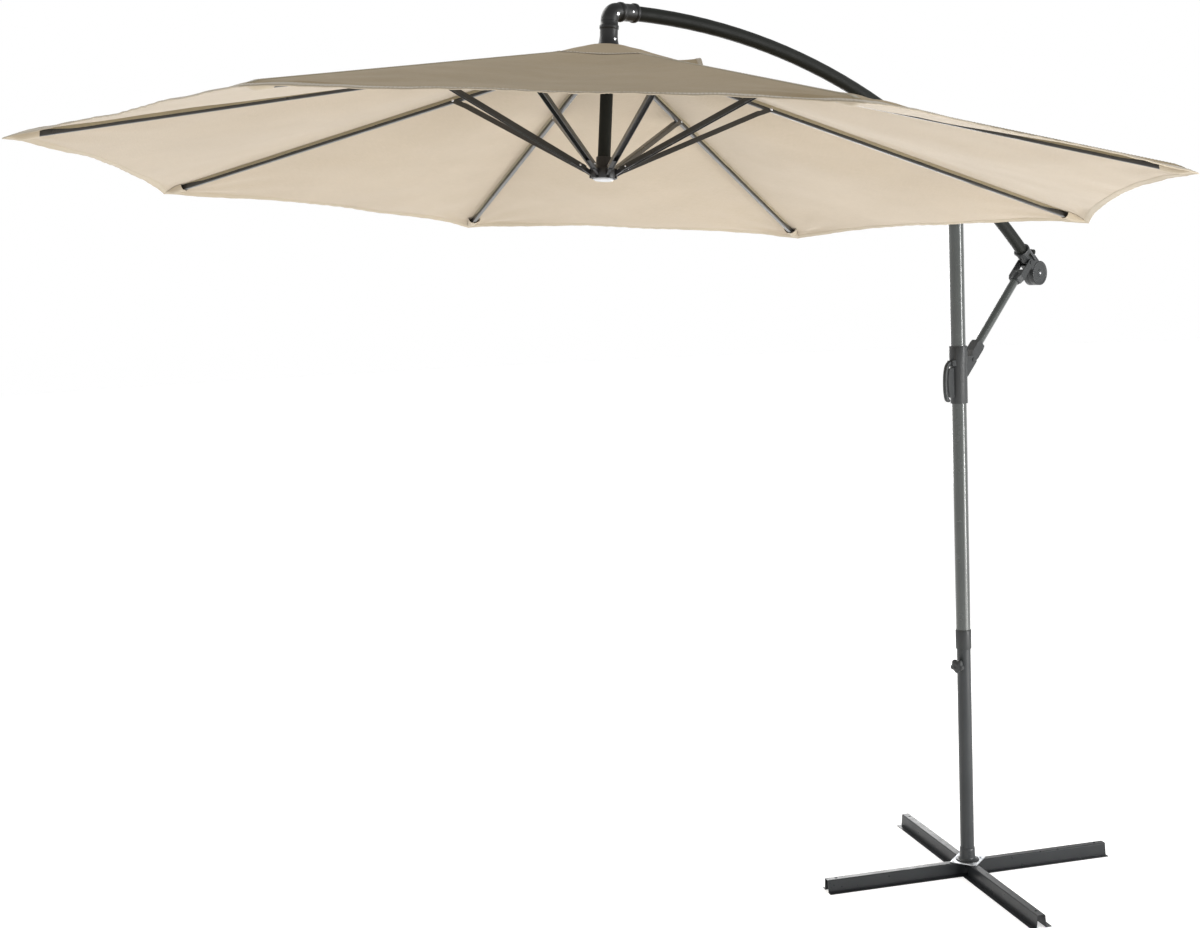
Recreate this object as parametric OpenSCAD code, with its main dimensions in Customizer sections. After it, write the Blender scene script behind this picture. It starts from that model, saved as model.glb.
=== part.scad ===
// Cantilever garden parasol: a swivelling mast, a tilting curved arm and a folding octagonal canopy.
// The mast axis is the Z axis, the ground is Z = 0, and the arm reaches out along -X in the XZ plane.

/* [Base] */
// Length of each of the two crossed base bars
bar_len = 1018; // [800:2:1100]
// Turn of the long base bar about the mast, in degrees
bar_turn = -27; // [-45:1:45]
// Height of the top-hat section
bar_h = 42; // [36:1:50]
// Width of the flat top of the section
bar_top_w = 28; // [24:1:36]
// Width of each foot flange
flange_w = 18; // [12:1:24]
// Sheet thickness of the bars and the plate
sheet_t = 2; // [1.5:0.5:3]
// Radius of the anchor hole near each bar end
anchor_r = 4.5; // [3:0.5:6]
// Distance of each anchor hole from the bar end
anchor_inset = 35; // [25:5:60]
// Side of the square plate that bolts the bars together
plate_w = 92; // [84:2:110]

/* [Mast] */
// Outer radius of the lower mast tube
lower_r = 23; // [22:0.5:24]
// Outer radius of the upper mast tube
upper_r = 24; // [23.5:0.5:25]
// Height where the upper tube leaves the lower one
split_z = 840; // [780:5:900]
// Height of the arm pivot above the ground
pivot_z = 2351; // [2300:1:2400]
// Height of the clamp knob
knob_z = 724; // [690:2:740]
// Direction in which the clamp knob points, in degrees from +X
knob_dir = 188; // [160:2:220]

/* [Slider and link] */
// Height of the bottom of the slider at rest
slider_z = 1596; // [1560:2:1620]
// Length of the slider
slider_len = 187; // [170:1:200]
// Radius of the link tube
link_r = 14; // [12:0.5:15]

/* [Arm] */
// Radius of the arm tube
arm_r = 20; // [18:0.5:22]
// Radius of the circle that the arm's centre line follows
arm_bend_r = 2660; // [2600:5:2700]
// Sweep of the arm from its level end, in degrees
arm_sweep = 42.6; // [42:0.1:43]
// Distance of the level end of the arm from the mast axis
arm_reach = 1420; // [1400:5:1440]

/* [Canopy] */
// Radius of the octagon through the eight tips
canopy_r = 1500; // [1480:5:1510]
// Lean of the canopy pole towards the mast, in degrees
lean = 6.29; // [5:0.01:8]
// Distance of the canopy centre from the mast axis, in the plane of the tips
centre_x = 1502.5; // [1490:0.5:1515]
// Height of the canopy centre, in the plane of the tips
centre_z = 2308; // [2300:1:2320]
// Radius of the canopy pole
pole_r = 17; // [15:0.5:18]
// Height of the rib pivots above the plane of the tips
crown_t = 342; // [320:1:350]
// Radius of the ring of rib pivots
crown_r = 45; // [42:1:48]
// Height of the strut pivots of the open runner above the plane of the tips
runner_t = 30; // [24:1:40]
// Radius of the ring of strut pivots
runner_r = 34; // [33:1:40]
// Radius at which the struts meet the ribs
joint_r = 472; // [440:2:500]
// Width of a rib
rib_w = 12; // [12:0.5:14]
// Depth of a rib
rib_h = 15; // [14:0.5:18]
// How far the hem curves in between two tips
hem_sag = 45; // [20:5:70]
// Radius of the vent under the top flap
vent_r = 190; // [150:5:220]
// Radius of the top flap
flap_r = 262; // [240:2:280]

/* [Winder] */
// Radius of the round winder case
case_r = 41; // [38:1:44]
// Depth of the winder case
case_w = 40; // [36:1:44]
// Distance of the winder axis past the end of the arm
case_ahead = 75; // [72:1:80]
// Distance of the winder axis below the arm's end line
case_below = 8; // [4:1:12]
// Distance from the winder axis to the crank grip
crank_throw = 83; // [70:1:90]
// Direction of the crank arm from the winder axis, in degrees
crank_dir = 59; // [0:1:359]

/* [Hidden] */
$fn = 64;

eps = 0.1;
fit = 0.08;
gap = 0.3;
tube_t = 2;

steel = [0.20, 0.21, 0.22];
plastic = [0.12, 0.12, 0.13];
bright = [0.75, 0.75, 0.76];
cloth = [0.80, 0.74, 0.64];
cord_colour = [0.85, 0.85, 0.82];

// Base
web_spread = 3;
flange_edge = bar_top_w / 2 + web_spread + flange_w;
bar_round = 4;
foot_z = bar_h + 3;
bolt_ring = 50;

// Mast
spigot_r = lower_r - tube_t - fit;
spigot_z = 660;
upper_top_z = 2288;
cheek_in = 22.5;
cheek_t = 5;
bolt_r = 5;
stop_z = 2066;

// Arm: its centre line is an arc about arm_o, and arm_end is its lower end
arm_o = [-arm_reach, pivot_z - arm_bend_r * cos(asin(arm_reach / arm_bend_r))];
pivot_phi = asin(arm_reach / arm_bend_r);
arm_end = arm_o + arm_bend_r * [sin(arm_sweep), cos(arm_sweep)];
end_dir = [cos(arm_sweep), -sin(arm_sweep)];
end_up = [sin(arm_sweep), cos(arm_sweep)];
winder = arm_end + case_ahead * end_dir - case_below * end_up;

// Linkage: the link runs from the slider's pin up to the winder's neck
link_low = [55, slider_z + 139];
neck_flat = 19.4;
link_ahead = 9.5;
link_below = 18.4;
link_high = arm_end + link_ahead * end_dir - link_below * end_up;
link_len = norm(link_high - link_low);
link_hole_r = 10;
link_slope = atan2(link_high[1] - link_low[1], link_high[0] - link_low[0]);

// Canopy frame
rib_slope = atan2(crown_t, canopy_r - crown_r);
rib_len = (canopy_r - 60 - crown_r) / cos(rib_slope);
joint_a = (joint_r - crown_r) / cos(rib_slope);
joint_t = crown_t - joint_a * sin(rib_slope);
strut_len = norm([joint_r - runner_r, joint_t - runner_t]);
strut_slope = atan2(joint_t - runner_t, joint_r - runner_r);
rib_t = 0.8;
shoe_w = rib_w - 2 * rib_t - 0.4;
cloth_t = 1.5;
cloth_lift = (rib_h / 2 + 0.8) / cos(rib_slope);
half_gore = 22.5;
tip_start = canopy_r - 48;
tip_drop = 9;

// Elbow: the corner where the arm's level line meets the leaning pole
corner = [-centre_x + tan(lean) * (arm_o[1] + arm_bend_r - centre_z), arm_o[1] + arm_bend_r];
corner_t = (corner[1] - centre_z) / cos(lean);
elbow_r = 23;
elbow_bend = 26;
elbow_turn = 90 - lean;
elbow_in = 17.5;
pulley_r = 7.5;
cord_r = 1.5;
cord_bend = pulley_r + cord_r + gap;
// The cord runs this far below the arm's centre line, clear of the pivot bolt, and rises to the pulley
cord_drop = bolt_r + cord_r + 1.7;
cord_rise = 120;

// Points along an arc in the plane, from angle a0 to a1 in n steps
function arc(c, r, a0, a1, n = 6) =
    [for (i = [0:n]) c + r * [cos(a0 + (a1 - a0) * i / n), sin(a0 + (a1 - a0) * i / n)]];
function mirrored(pts) = [for (i = [len(pts) - 1:-1:0]) [-pts[i][0], pts[i][1]]];

// Places a child drawn about the Y axis at a point of the XZ plane, turned up by angle a
module at_xz(p, a = 0) {
    translate([p[0], 0, p[1]]) rotate([0, -a, 0]) children();
}
// A cylinder along Y, from y0 to y1
module pin_y(r, y0, y1) {
    translate([0, y1, 0]) rotate([90, 0, 0]) cylinder(r = r, h = y1 - y0);
}
// A cylinder along X, from x0 to x1
module rod_x(r, x0, x1) {
    translate([x0, 0, 0]) rotate([0, 90, 0]) cylinder(r = r, h = x1 - x0);
}
// An outline in the XZ plane, made w wide about y = 0
module slab_xz(w) {
    rotate([90, 0, 0]) linear_extrude(height = w, center = true) children();
}
// A bent rod or tube in the XZ plane about the centre c, from angle a0 to a1
module bend_xz(c, bend, a0, a1, r, r_in = 0) {
    translate([c[0], 0, c[1]]) rotate([90, 0, 0]) rotate([0, 0, a0])
        rotate_extrude(angle = a1 - a0, $fn = 180)
            translate([bend, 0]) difference() {
                circle(r = r, $fn = 48);
                if (r_in > 0) circle(r = r_in, $fn = 48);
            }
}
// A rod between two points of the XZ plane
module rod_between(p, q, r) {
    at_xz(p, atan2(q[1] - p[1], q[0] - p[0])) rod_x(r, 0, norm(q - p));
}
module canopy_frame() {
    translate([-centre_x, 0, centre_z]) rotate([0, lean, 0]) children();
}
function rib_turn(k) = half_gore + (k - 1) * 45;
// Rib axes: +X out along the rib from its pivot
module rib_frame(k) {
    canopy_frame() rotate([0, 0, rib_turn(k)])
        translate([crown_r, 0, crown_t]) rotate([0, rib_slope, 0]) children();
}
// Strut axes: +X from the rib joint in towards the runner, +Z outwards and down
module strut_frame(k) {
    canopy_frame() rotate([0, 0, rib_turn(k)])
        translate([joint_r, 0, joint_t]) rotate([0, 180 - strut_slope, 0]) children();
}

// ---- Base ----
module bar_section() {
    a = bar_top_w / 2;
    b = a + web_spread;
    outer = concat(
        [[b - sheet_t, 0], [flange_edge, 0], [flange_edge, sheet_t], [b, sheet_t]],
        arc([a - bar_round, bar_h - bar_round], bar_round, 0, 90)
    );
    inner = [[-(a - sheet_t), bar_h - sheet_t], [a - sheet_t, bar_h - sheet_t]];
    polygon(concat(outer, mirrored(outer), inner));
}
module base_bar(turn) {
    rotate([0, 0, turn]) difference() {
        translate([-bar_len / 2, 0, 0]) rotate([90, 0, 90]) linear_extrude(height = bar_len) bar_section();
        for (s = [-1, 1]) {
            translate([s * (bar_len / 2 - anchor_inset), 0, bar_h - 10]) cylinder(r = anchor_r, h = 20);
            translate([s * bolt_ring, 0, bar_h - 10]) cylinder(r = 3.3, h = 20);
        }
        children();
    }
}
module base_bar_long() {
    notch = bar_top_w / 2 + web_spread + 1;
    color(steel) base_bar(bar_turn)
        translate([-notch, -50, bar_h / 2]) cube([2 * notch, 100, bar_h]);
}
module base_bar_cross() {
    notch = flange_edge + 1;
    color(steel) base_bar(bar_turn + 90)
        translate([-notch, -50, -1]) cube([2 * notch, 100, bar_h / 2 + 1]);
}
module base_plate() {
    color(bright) difference() {
        rotate([0, 0, bar_turn + 45]) translate([-plate_w / 2, -plate_w / 2, bar_h])
            cube([plate_w, plate_w, 3]);
        rotate([0, 0, bar_turn]) for (a = [0:90:270])
            rotate([0, 0, a]) translate([bolt_ring, 0, bar_h - 1]) cylinder(r = 3.3, h = 5);
    }
}
module base_bolts() {
    color(bright) rotate([0, 0, bar_turn]) for (a = [0:90:270]) rotate([0, 0, a])
        translate([bolt_ring, 0, 0]) {
            translate([0, 0, 28]) cylinder(r = 3.2, h = foot_z - 28);
            translate([0, 0, foot_z]) cylinder(r = 5.5, h = 4, $fn = 6);
            translate([0, 0, 33]) difference() {
                cylinder(r = 5.5, h = 5, $fn = 6);
                translate([0, 0, -1]) cylinder(r = 3.2, h = 7);
            }
        }
}
module mast_foot() {
    flare = 14;
    color(steel) rotate_extrude() polygon(concat(
        [[lower_r, foot_z], [lower_r + 2 + flare, foot_z], [lower_r + 2 + flare, foot_z + 3]],
        arc([lower_r + 2 + flare, foot_z + 3 + 1.8 * flare], flare, 270, 180),
        [[lower_r + 2, foot_z + 48], [lower_r, foot_z + 50]]
    ));
}

// ---- Lower mast and clamp ----
module lower_mast_tube() {
    color(steel) difference() {
        union() {
            translate([0, 0, foot_z]) cylinder(r = lower_r, h = split_z - 2 - foot_z);
            rotate([0, 0, knob_dir]) translate([0, 0, knob_z]) rod_x(9, lower_r - 1.5, lower_r + 9);
        }
        translate([0, 0, foot_z - 1]) cylinder(r = lower_r - tube_t, h = split_z);
        rotate([0, 0, knob_dir]) translate([0, 0, knob_z]) rod_x(4 + fit, lower_r - 4, lower_r + 12);
    }
}
module mast_collar() {
    color(plastic) rotate_extrude() polygon([
        [lower_r + 0.1, split_z - 65], [lower_r + 2.2, split_z - 65], [lower_r + 3, split_z - 62],
        [lower_r + 3, split_z - 3], [lower_r + 2, split_z], [spigot_r + 0.5, split_z],
        [spigot_r + 0.5, split_z - 1.9], [lower_r + 0.1, split_z - 1.9]
    ]);
}
module clamp_knob() {
    neck = lower_r + 9.5;
    color(plastic) rotate([0, 0, knob_dir]) translate([0, 0, knob_z]) {
        rod_x(4, spigot_r + 0.3, neck + 1);
        rod_x(9, neck, neck + 5);
        translate([neck + 4, 0, 0]) rotate([0, 90, 0]) linear_extrude(height = 16) {
            circle(r = 16);
            for (a = [0:72:288]) rotate([0, 0, a]) translate([17, 0]) circle(r = 7);
        }
        rod_x(11, neck + 19, neck + 22);
    }
}

// ---- Upper mast ----
module upper_mast_tube() {
    color(steel) rotate_extrude() polygon([
        [spigot_r - tube_t, spigot_z], [spigot_r, spigot_z], [spigot_r, split_z + 0.6],
        [upper_r, split_z + 0.6], [upper_r, upper_top_z], [upper_r - tube_t, upper_top_z],
        [upper_r - tube_t, split_z + 8], [spigot_r - tube_t, split_z + 3]
    ]);
}
module mast_head() {
    cap_z = upper_top_z + 6;
    color(plastic) {
        difference() {
            union() {
                translate([0, 0, upper_top_z - 50]) cylinder(r = upper_r - tube_t - 0.1, h = 51);
                translate([0, 0, upper_top_z]) cylinder(r = upper_r, h = 6);
                for (s = [-1, 1]) translate([0, s * (cheek_in + cheek_t / 2), 0]) {
                    slab_xz(cheek_t) polygon([[-19, upper_top_z + 1], [19, upper_top_z + 1],
                        [22, pivot_z], [-22, pivot_z]]);
                    at_xz([0, pivot_z]) pin_y(22, -cheek_t / 2, cheek_t / 2);
                }
                translate([-19, -cheek_in - cheek_t, upper_top_z]) cube([38, 2 * (cheek_in + cheek_t), 6]);
            }
            at_xz([0, pivot_z]) pin_y(bolt_r + 0.05, -40, 40);
        }
    }
}
module arm_pivot_bolt() {
    side = cheek_in + cheek_t;
    color(bright) at_xz([0, pivot_z]) {
        pin_y(bolt_r, -side, side + 8);
        pin_y(9, -side - 5, -side);
        translate([0, 2 * side + 6, 0]) difference() {
            pin_y(9, -side - 6, -side);
            pin_y(bolt_r, -side - 7, -side + 1);
        }
    }
}
module slider_stop() {
    color(steel) translate([0, 0, stop_z]) difference() {
        rod_x(4, upper_r - 1.5, upper_r + 3);
        cylinder(r = upper_r, h = 20, center = true);
    }
}

// ---- Slider, lever and link ----
module slider_body() {
    top = slider_z + slider_len;
    ear_y = 16.5;
    ear_t = 4;
    color(plastic) difference() {
        union() {
            translate([0, 0, slider_z]) cylinder(r = upper_r + 4, h = slider_len - 50);
            translate([0, 0, top - 54]) cylinder(r = upper_r + 5.5, h = 54);
            translate([0, 0, top - 58]) cylinder(r1 = upper_r + 4, r2 = upper_r + 5.5, h = 4.01);
            for (s = [-1, 1]) translate([0, s * (ear_y + ear_t / 2), 0]) {
                slab_xz(ear_t) polygon([
                    [5, slider_z + 86], [22, slider_z + 86], [link_low[0] + 15, link_low[1] - 8],
                    [link_low[0] + 6, link_low[1] + 15], [5, link_low[1] + 12]
                ]);
                at_xz(link_low) pin_y(16, -ear_t / 2, ear_t / 2);
            }
            for (y = [-11, 7]) translate([-upper_r - 20, y, slider_z + 124]) cube([22, 4, 18]);
            at_xz([-upper_r - 14, slider_z + 133]) slab_xz(8) polygon([
                [11, -14], [-11, -16], [-18, -28], [-21, -45], [-21.5, -70], [-18, -96], [-12, -109],
                [-5, -113], [11, -113]
            ]);
        }
        translate([0, 0, slider_z - 1]) cylinder(r = upper_r + gap, h = slider_len + 2);
        at_xz(link_low) pin_y(4.05, -40, 40);
        at_xz([-upper_r - 14, slider_z + 133]) pin_y(3.05, -20, 20);
    }
}
module slider_pins() {
    side = 20.5;
    color(bright) {
        at_xz(link_low) {
            pin_y(4, -side, side);
            pin_y(6.5, -side - 2, -side);
            pin_y(6.5, side, side + 2);
        }
        at_xz([-upper_r - 14, slider_z + 133]) pin_y(3, -11.5, 11.5);
        rotate([0, 0, -60]) translate([0, 0, slider_z + 175]) difference() {
            rod_x(3.2, upper_r + 4.5, upper_r + 7);
            cylinder(r = upper_r + 5.5, h = 20, center = true);
        }
    }
}
module release_lever() {
    hinge_x = -upper_r - 14;
    z = slider_z + 133;
    color(plastic) difference() {
        union() {
            slab_xz(13.4) polygon([
                [hinge_x + 6, z - 4], [hinge_x + 5, z + 7], [hinge_x - 6, z + 9], [hinge_x - 22, z + 4],
                [hinge_x - 33, z - 12], [hinge_x - 37, z - 36], [hinge_x - 38, z - 70],
                [hinge_x - 35, z - 104], [hinge_x - 29, z - 122], [hinge_x - 16, z - 124],
                [hinge_x - 15, z - 118], [hinge_x - 23, z - 112], [hinge_x - 27, z - 98],
                [hinge_x - 29, z - 70], [hinge_x - 28, z - 36], [hinge_x - 23, z - 19], [hinge_x - 12, z - 8]
            ]);
            at_xz([hinge_x, z]) pin_y(8, -6.7, 6.7);
        }
        at_xz([hinge_x, z]) pin_y(3 + fit, -10, 10);
    }
}
// Link axes: +X along the link from the slider's pin
module link_frame() {
    at_xz(link_low, link_slope) children();
}
module link_boot() {
    color(plastic) link_frame() difference() {
        union() {
            pin_y(15, -16, 16);
            slab_xz(32) polygon([[0, -15], [26, -19], [62, -19], [74, -15.5],
                [74, 15.5], [62, 19], [26, 19], [0, 15]]);
        }
        pin_y(4 + fit, -20, 20);
        rod_x(link_r, 40, 80);
    }
}
module link_tube() {
    color(steel) link_frame() difference() {
        rod_x(link_r, 40, link_len - 50);
        rod_x(link_r - 1.5, 39, link_len - 49);
    }
}
module link_fork() {
    ear_y = neck_flat + 0.7;
    side = ear_y + 4;
    color(plastic) link_frame() {
        difference() {
            union() {
                translate([0, 0, -13]) linear_extrude(height = 26) polygon([
                    [link_len - 86, -link_r - 3], [link_len - 70, -side], [link_len - 44, -side],
                    [link_len - 44, side], [link_len - 70, side], [link_len - 86, link_r + 3]
                ]);
                for (s = [-1, 1]) translate([link_len, s * (ear_y + 2), 0]) {
                    pin_y(12.5, -2, 2);
                    translate([-60, -2, -12.5]) cube([60, 4, 25]);
                }
                rod_x(link_r + 3, link_len - 88, link_len - 60);
            }
            rod_x(link_r, link_len - 90, link_len - 50);
            translate([link_len, 0, 0]) pin_y(3.55, -40, 40);
        }
        translate([link_len, 0, 0]) {
            pin_y(3.5, -ear_y - 4, ear_y + 4);
            pin_y(6, -ear_y - 6.1, -ear_y - 4.1);
        }
    }
}

// ---- Arm ----
module arm_tube() {
    color(steel) difference() {
        bend_xz(arm_o, arm_bend_r, 90 - arm_sweep, 90, arm_r, arm_r - tube_t);
        at_xz([0, pivot_z]) pin_y(bolt_r + 0.1, -30, 30);
    }
}
module arm_saddle() {
    color(plastic) difference() {
        bend_xz(arm_o, arm_bend_r, 88.6 - pivot_phi, 91.4 - pivot_phi, arm_r + 2, arm_r + 0.1);
        at_xz([0, pivot_z]) pin_y(bolt_r + fit, -30, 30);
    }
}

// ---- Elbow and pole ----
// Centre of a round corner of radius r between the arm's level line and the pole
function corner_o(r) = corner + r * [tan(elbow_turn / 2), -1];
// The bend is a step thinner than the two sockets and laps into them by bend_lap degrees
module elbow() {
    end_x = -centre_x + 139.5;
    start_x = corner[0] + elbow_bend * tan(elbow_turn / 2);
    top_t = corner_t - elbow_bend * tan(elbow_turn / 2);
    skirt_t = crown_t + 20;
    step = 0.25;
    bend_lap = 2;
    chord = (end_x + arm_reach) / arm_bend_r * 90 / PI;
    color(plastic) {
        difference() {
            translate([start_x, 0, corner[1]]) rotate([0, 90, 0]) rotate_extrude() polygon([
                [elbow_in, 0], [elbow_r, 0], [elbow_r, 7], [elbow_r + 3, 9], [elbow_r + 3, 17],
                [elbow_r, 19], [elbow_r, end_x - start_x - 10], [elbow_r + 2.5, end_x - start_x - 8],
                [elbow_r + 2.5, end_x - start_x], [elbow_in, end_x - start_x]
            ]);
            at_xz([-arm_reach, corner[1]], -chord) rod_x(arm_r + gap, -0.5, 80);
        }
        difference() {
            bend_xz(
                corner_o(elbow_bend), elbow_bend, 90 - bend_lap, 90 + elbow_turn + bend_lap,
                elbow_r - step, elbow_in + step
            );
            at_xz(corner_o(cord_bend)) pin_y(3.05, -40, 40);
        }
        canopy_frame() translate([0, 0, skirt_t]) rotate_extrude() polygon([
            [pole_r + 0.1, 0], [elbow_r + 8, 0], [elbow_r + 7.5, 3], [elbow_r + 1.5, 16],
            [elbow_r + 0.5, 46], [elbow_r + 2.5, 48], [elbow_r + 2.5, 56], [elbow_r, 58],
            [elbow_r, top_t - skirt_t], [elbow_in, top_t - skirt_t], [elbow_in, 64.2], [pole_r + 0.1, 64.2]
        ]);
    }
}
module elbow_rivets() {
    color(bright) {
        for (s = [-1, 1]) {
            translate([-centre_x + 112.5, s * (elbow_r + 0.85), corner[1] - 1]) pin_y(3.2, -0.8, 0.8);
            canopy_frame() translate([0, s * (elbow_r + 2.4), crown_t + 39]) pin_y(3.2, -0.8, 0.8);
        }
        at_xz(corner_o(cord_bend)) {
            pin_y(3, -elbow_r, elbow_r);
            for (s = [-1, 1]) translate([0, s * (elbow_r + 0.8), 0]) pin_y(4.5, -0.8, 0.8);
        }
    }
}
module elbow_pulley() {
    color(bright) at_xz(corner_o(cord_bend)) difference() {
        union() {
            pin_y(pulley_r, -3, 3);
            for (y = [-3.5, 2]) pin_y(pulley_r + 2, y, y + 1.5);
        }
        pin_y(3 + fit, -10, 10);
    }
}
module pole_tube() {
    color(steel) canopy_frame() translate([0, 0, runner_t + 10]) difference() {
        cylinder(r = pole_r, h = crown_t + 83 - runner_t - 10);
        translate([0, 0, -1]) cylinder(r = pole_r - tube_t, h = crown_t + 100);
    }
}

// ---- Crown and runner ----
module crown_hub() {
    core = 33;
    slot_w = shoe_w + 1;
    color(plastic) canopy_frame() difference() {
        union() {
            translate([0, 0, crown_t - 12]) cylinder(r = crown_r + 9, h = 28);
            translate([0, 0, crown_t - 30]) cylinder(r = pole_r + 5, h = 20);
        }
        translate([0, 0, crown_t - 40]) cylinder(r = pole_r + 0.1, h = 100);
        for (k = [1:8]) rotate([0, 0, rib_turn(k)]) {
            translate([core, -slot_w / 2, crown_t - 20]) cube([40, slot_w, 31]);
            translate([crown_r, 0, crown_t]) pin_y(2.05, -slot_w / 2 - 5, slot_w / 2 + 5);
        }
    }
}
module crown_pins() {
    color(bright) canopy_frame() for (k = [1:8]) rotate([0, 0, rib_turn(k)])
        translate([crown_r, 0, crown_t]) pin_y(2, -10, 10);
}
module runner_hub() {
    core = 27;
    slot_w = 9;
    sleeve = pole_r + 4;
    color(plastic) canopy_frame() difference() {
        union() {
            translate([0, 0, runner_t - 12]) cylinder(r = runner_r + 3, h = 26);
            translate([0, 0, runner_t]) cylinder(r = sleeve, h = 45);
            translate([0, 0, runner_t + 14]) cylinder(r1 = core - 2, r2 = sleeve, h = 8);
        }
        translate([0, 0, runner_t + 9.5]) cylinder(r = pole_r + 0.4, h = 60);
        translate([0, 0, runner_t - 13]) cylinder(r = 4, h = 60);
        for (k = [1:8]) rotate([0, 0, rib_turn(k)])
            translate([core, -slot_w / 2, runner_t - 20]) cube([40, slot_w, 60]);
    }
}
module runner_cap() {
    color(bright) canopy_frame() rotate_extrude() polygon([
        [0, runner_t - 18], [22, runner_t - 18], [27, runner_t - 15], [27, runner_t - 12],
        [0, runner_t - 12]
    ]);
}

// ---- Winder ----
// Neck axes: origin at the arm's lower end, +X on along the arm's line, +Z up from it
module neck_frame() {
    at_xz(arm_end, -arm_sweep) children();
}
module winder_case() {
    wall = 2.5;
    difference() {
        union() {
            at_xz(winder) pin_y(case_r, -case_w / 2, case_w / 2);
            neck_frame() {
                rod_x(arm_r + 5, -36, 22);
                rod_x(arm_r + 6.5, -36, -28);
                translate([15, 0.5 - case_w / 2, -26]) cube([35, case_w - 1, 46]);
            }
        }
        at_xz(winder) pin_y(case_r - wall, -case_w / 2 + wall, case_w / 2 - wall);
        neck_frame() {
            rod_x(arm_r + 0.4, -37, 0.2);
            for (s = [-1, 1])
                translate([link_ahead - 28.5, s > 0 ? neck_flat : -neck_flat - 20, -45])
                    cube([52.5, 20, 46.5]);
            rod_x(cord_drop + 2.3, -1, 45);
            translate([link_ahead, 0, -link_below]) pin_y(link_hole_r, -40, 40);
        }
    }
    at_xz(winder) difference() {
        for (s = [-1, 1]) pin_y(9, s > 0 ? 13 : -case_w / 2 + eps, s > 0 ? case_w / 2 - eps : -13);
        pin_y(bolt_r + fit, -14.5, 14.5);
    }
}
module winder_case_front() {
    color(plastic) difference() {
        winder_case();
        translate([0, 0, 1500]) cube([1200, 200, 1200]);
        at_xz(winder) pin_y(3, -30, -10);
        at_xz(winder) pin_y(bolt_r + fit, -17, 0);
    }
}
module winder_case_back() {
    color(plastic) difference() {
        winder_case();
        translate([0, -200, 1500]) cube([1200, 200, 1200]);
        at_xz(winder) pin_y(bolt_r + fit, 0, 40);
    }
}
module winder_drum() {
    color(steel) at_xz(winder) difference() {
        union() {
            pin_y(bolt_r, -16, 38);
            pin_y(10, -12, 12);
            for (y = [-12, 10]) pin_y(30, y, y + 2);
        }
    }
}
module cord_winding() {
    color(cord_colour) at_xz(winder) difference() {
        pin_y(14, -9.9, 9.9);
        pin_y(10.05, -12, 12);
    }
}
module crank_arm() {
    color(steel) at_xz(winder, crank_dir) difference() {
        union() {
            translate([0, 33, -8]) cube([crank_throw, 5, 16]);
            pin_y(11, 32, 42);
            translate([crank_throw, 0, 0]) pin_y(9, 33, 38);
        }
        pin_y(bolt_r, 30, 38);
        translate([crank_throw, 0, 0]) pin_y(3.55, 30, 40);
    }
    color(bright) at_xz(winder, crank_dir) translate([crank_throw, 0, 0]) {
        pin_y(3.5, 33, 112);
        pin_y(6, 31, 33);
    }
}
module crank_grip() {
    color(plastic) at_xz(winder, crank_dir) translate([crank_throw, 38.5, 0]) rotate([-90, 0, 0])
        rotate_extrude() polygon(concat(
            [[3.5 + fit, 0], [9, 0], [10, 4], [11.5, 30]],
            arc([4.5, 64], 8, 0, 90),
            [[3.5 + fit, 72]]
        ));
}

// ---- Cord, ribs and struts ----
module lift_cord() {
    drum_side = winder + 17 * end_up - 4 * end_dir;
    turn_d = cord_bend * tan(elbow_turn / 2);
    lap = 0.5;
    thin_r = cord_r - 0.12;
    run_r = arm_bend_r - cord_drop;
    rise_a = 90 - asin(cord_rise / run_r);
    rise_p = arm_o + run_r * [cos(rise_a), sin(rise_a)];
    low_p = arm_end - cord_drop * end_up;
    color(cord_colour) {
        bend_xz(arm_o, run_r, 90 - arm_sweep, rise_a, cord_r);
        rod_between([corner[0] + turn_d - lap, corner[1]], rise_p + [lap, 0], thin_r);
        bend_xz(corner_o(cord_bend), cord_bend, 90, 90 + elbow_turn, cord_r);
        canopy_frame() translate([0, 0, runner_t + 12])
            cylinder(r = thin_r, h = corner_t - turn_d - runner_t - 12 + lap);
        rod_between(low_p - lap * end_dir, drum_side, thin_r);
    }
}
module rib(k) {
    shoe_h = rib_h - 2 * rib_t - 0.4;
    color(steel) rib_frame(k) difference() {
        translate([16, -rib_w / 2, -rib_h / 2]) cube([rib_len - 16, rib_w, rib_h]);
        translate([15, -rib_w / 2 + rib_t, -rib_h / 2 + rib_t])
            cube([rib_len, rib_w - 2 * rib_t, rib_h - 2 * rib_t]);
        translate([joint_a, 0, 0]) pin_y(3 + fit, -20, 20);
    }
    color(plastic) rib_frame(k) {
        difference() {
            union() {
                pin_y(shoe_h / 2 + 0.6, -shoe_w / 2, shoe_w / 2);
                translate([0, -shoe_w / 2, -shoe_h / 2]) cube([45, shoe_w, shoe_h]);
            }
            pin_y(2 + fit, -10, 10);
        }
        translate([rib_len - 14, -rib_w / 2 + 1.3, -rib_h / 2 + 1.3])
            cube([15, rib_w - 2.6, rib_h - 2.6]);
        translate([rib_len + 0.1, -rib_w / 2, -rib_h / 2]) cube([3, rib_w, rib_h]);
    }
}
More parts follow.
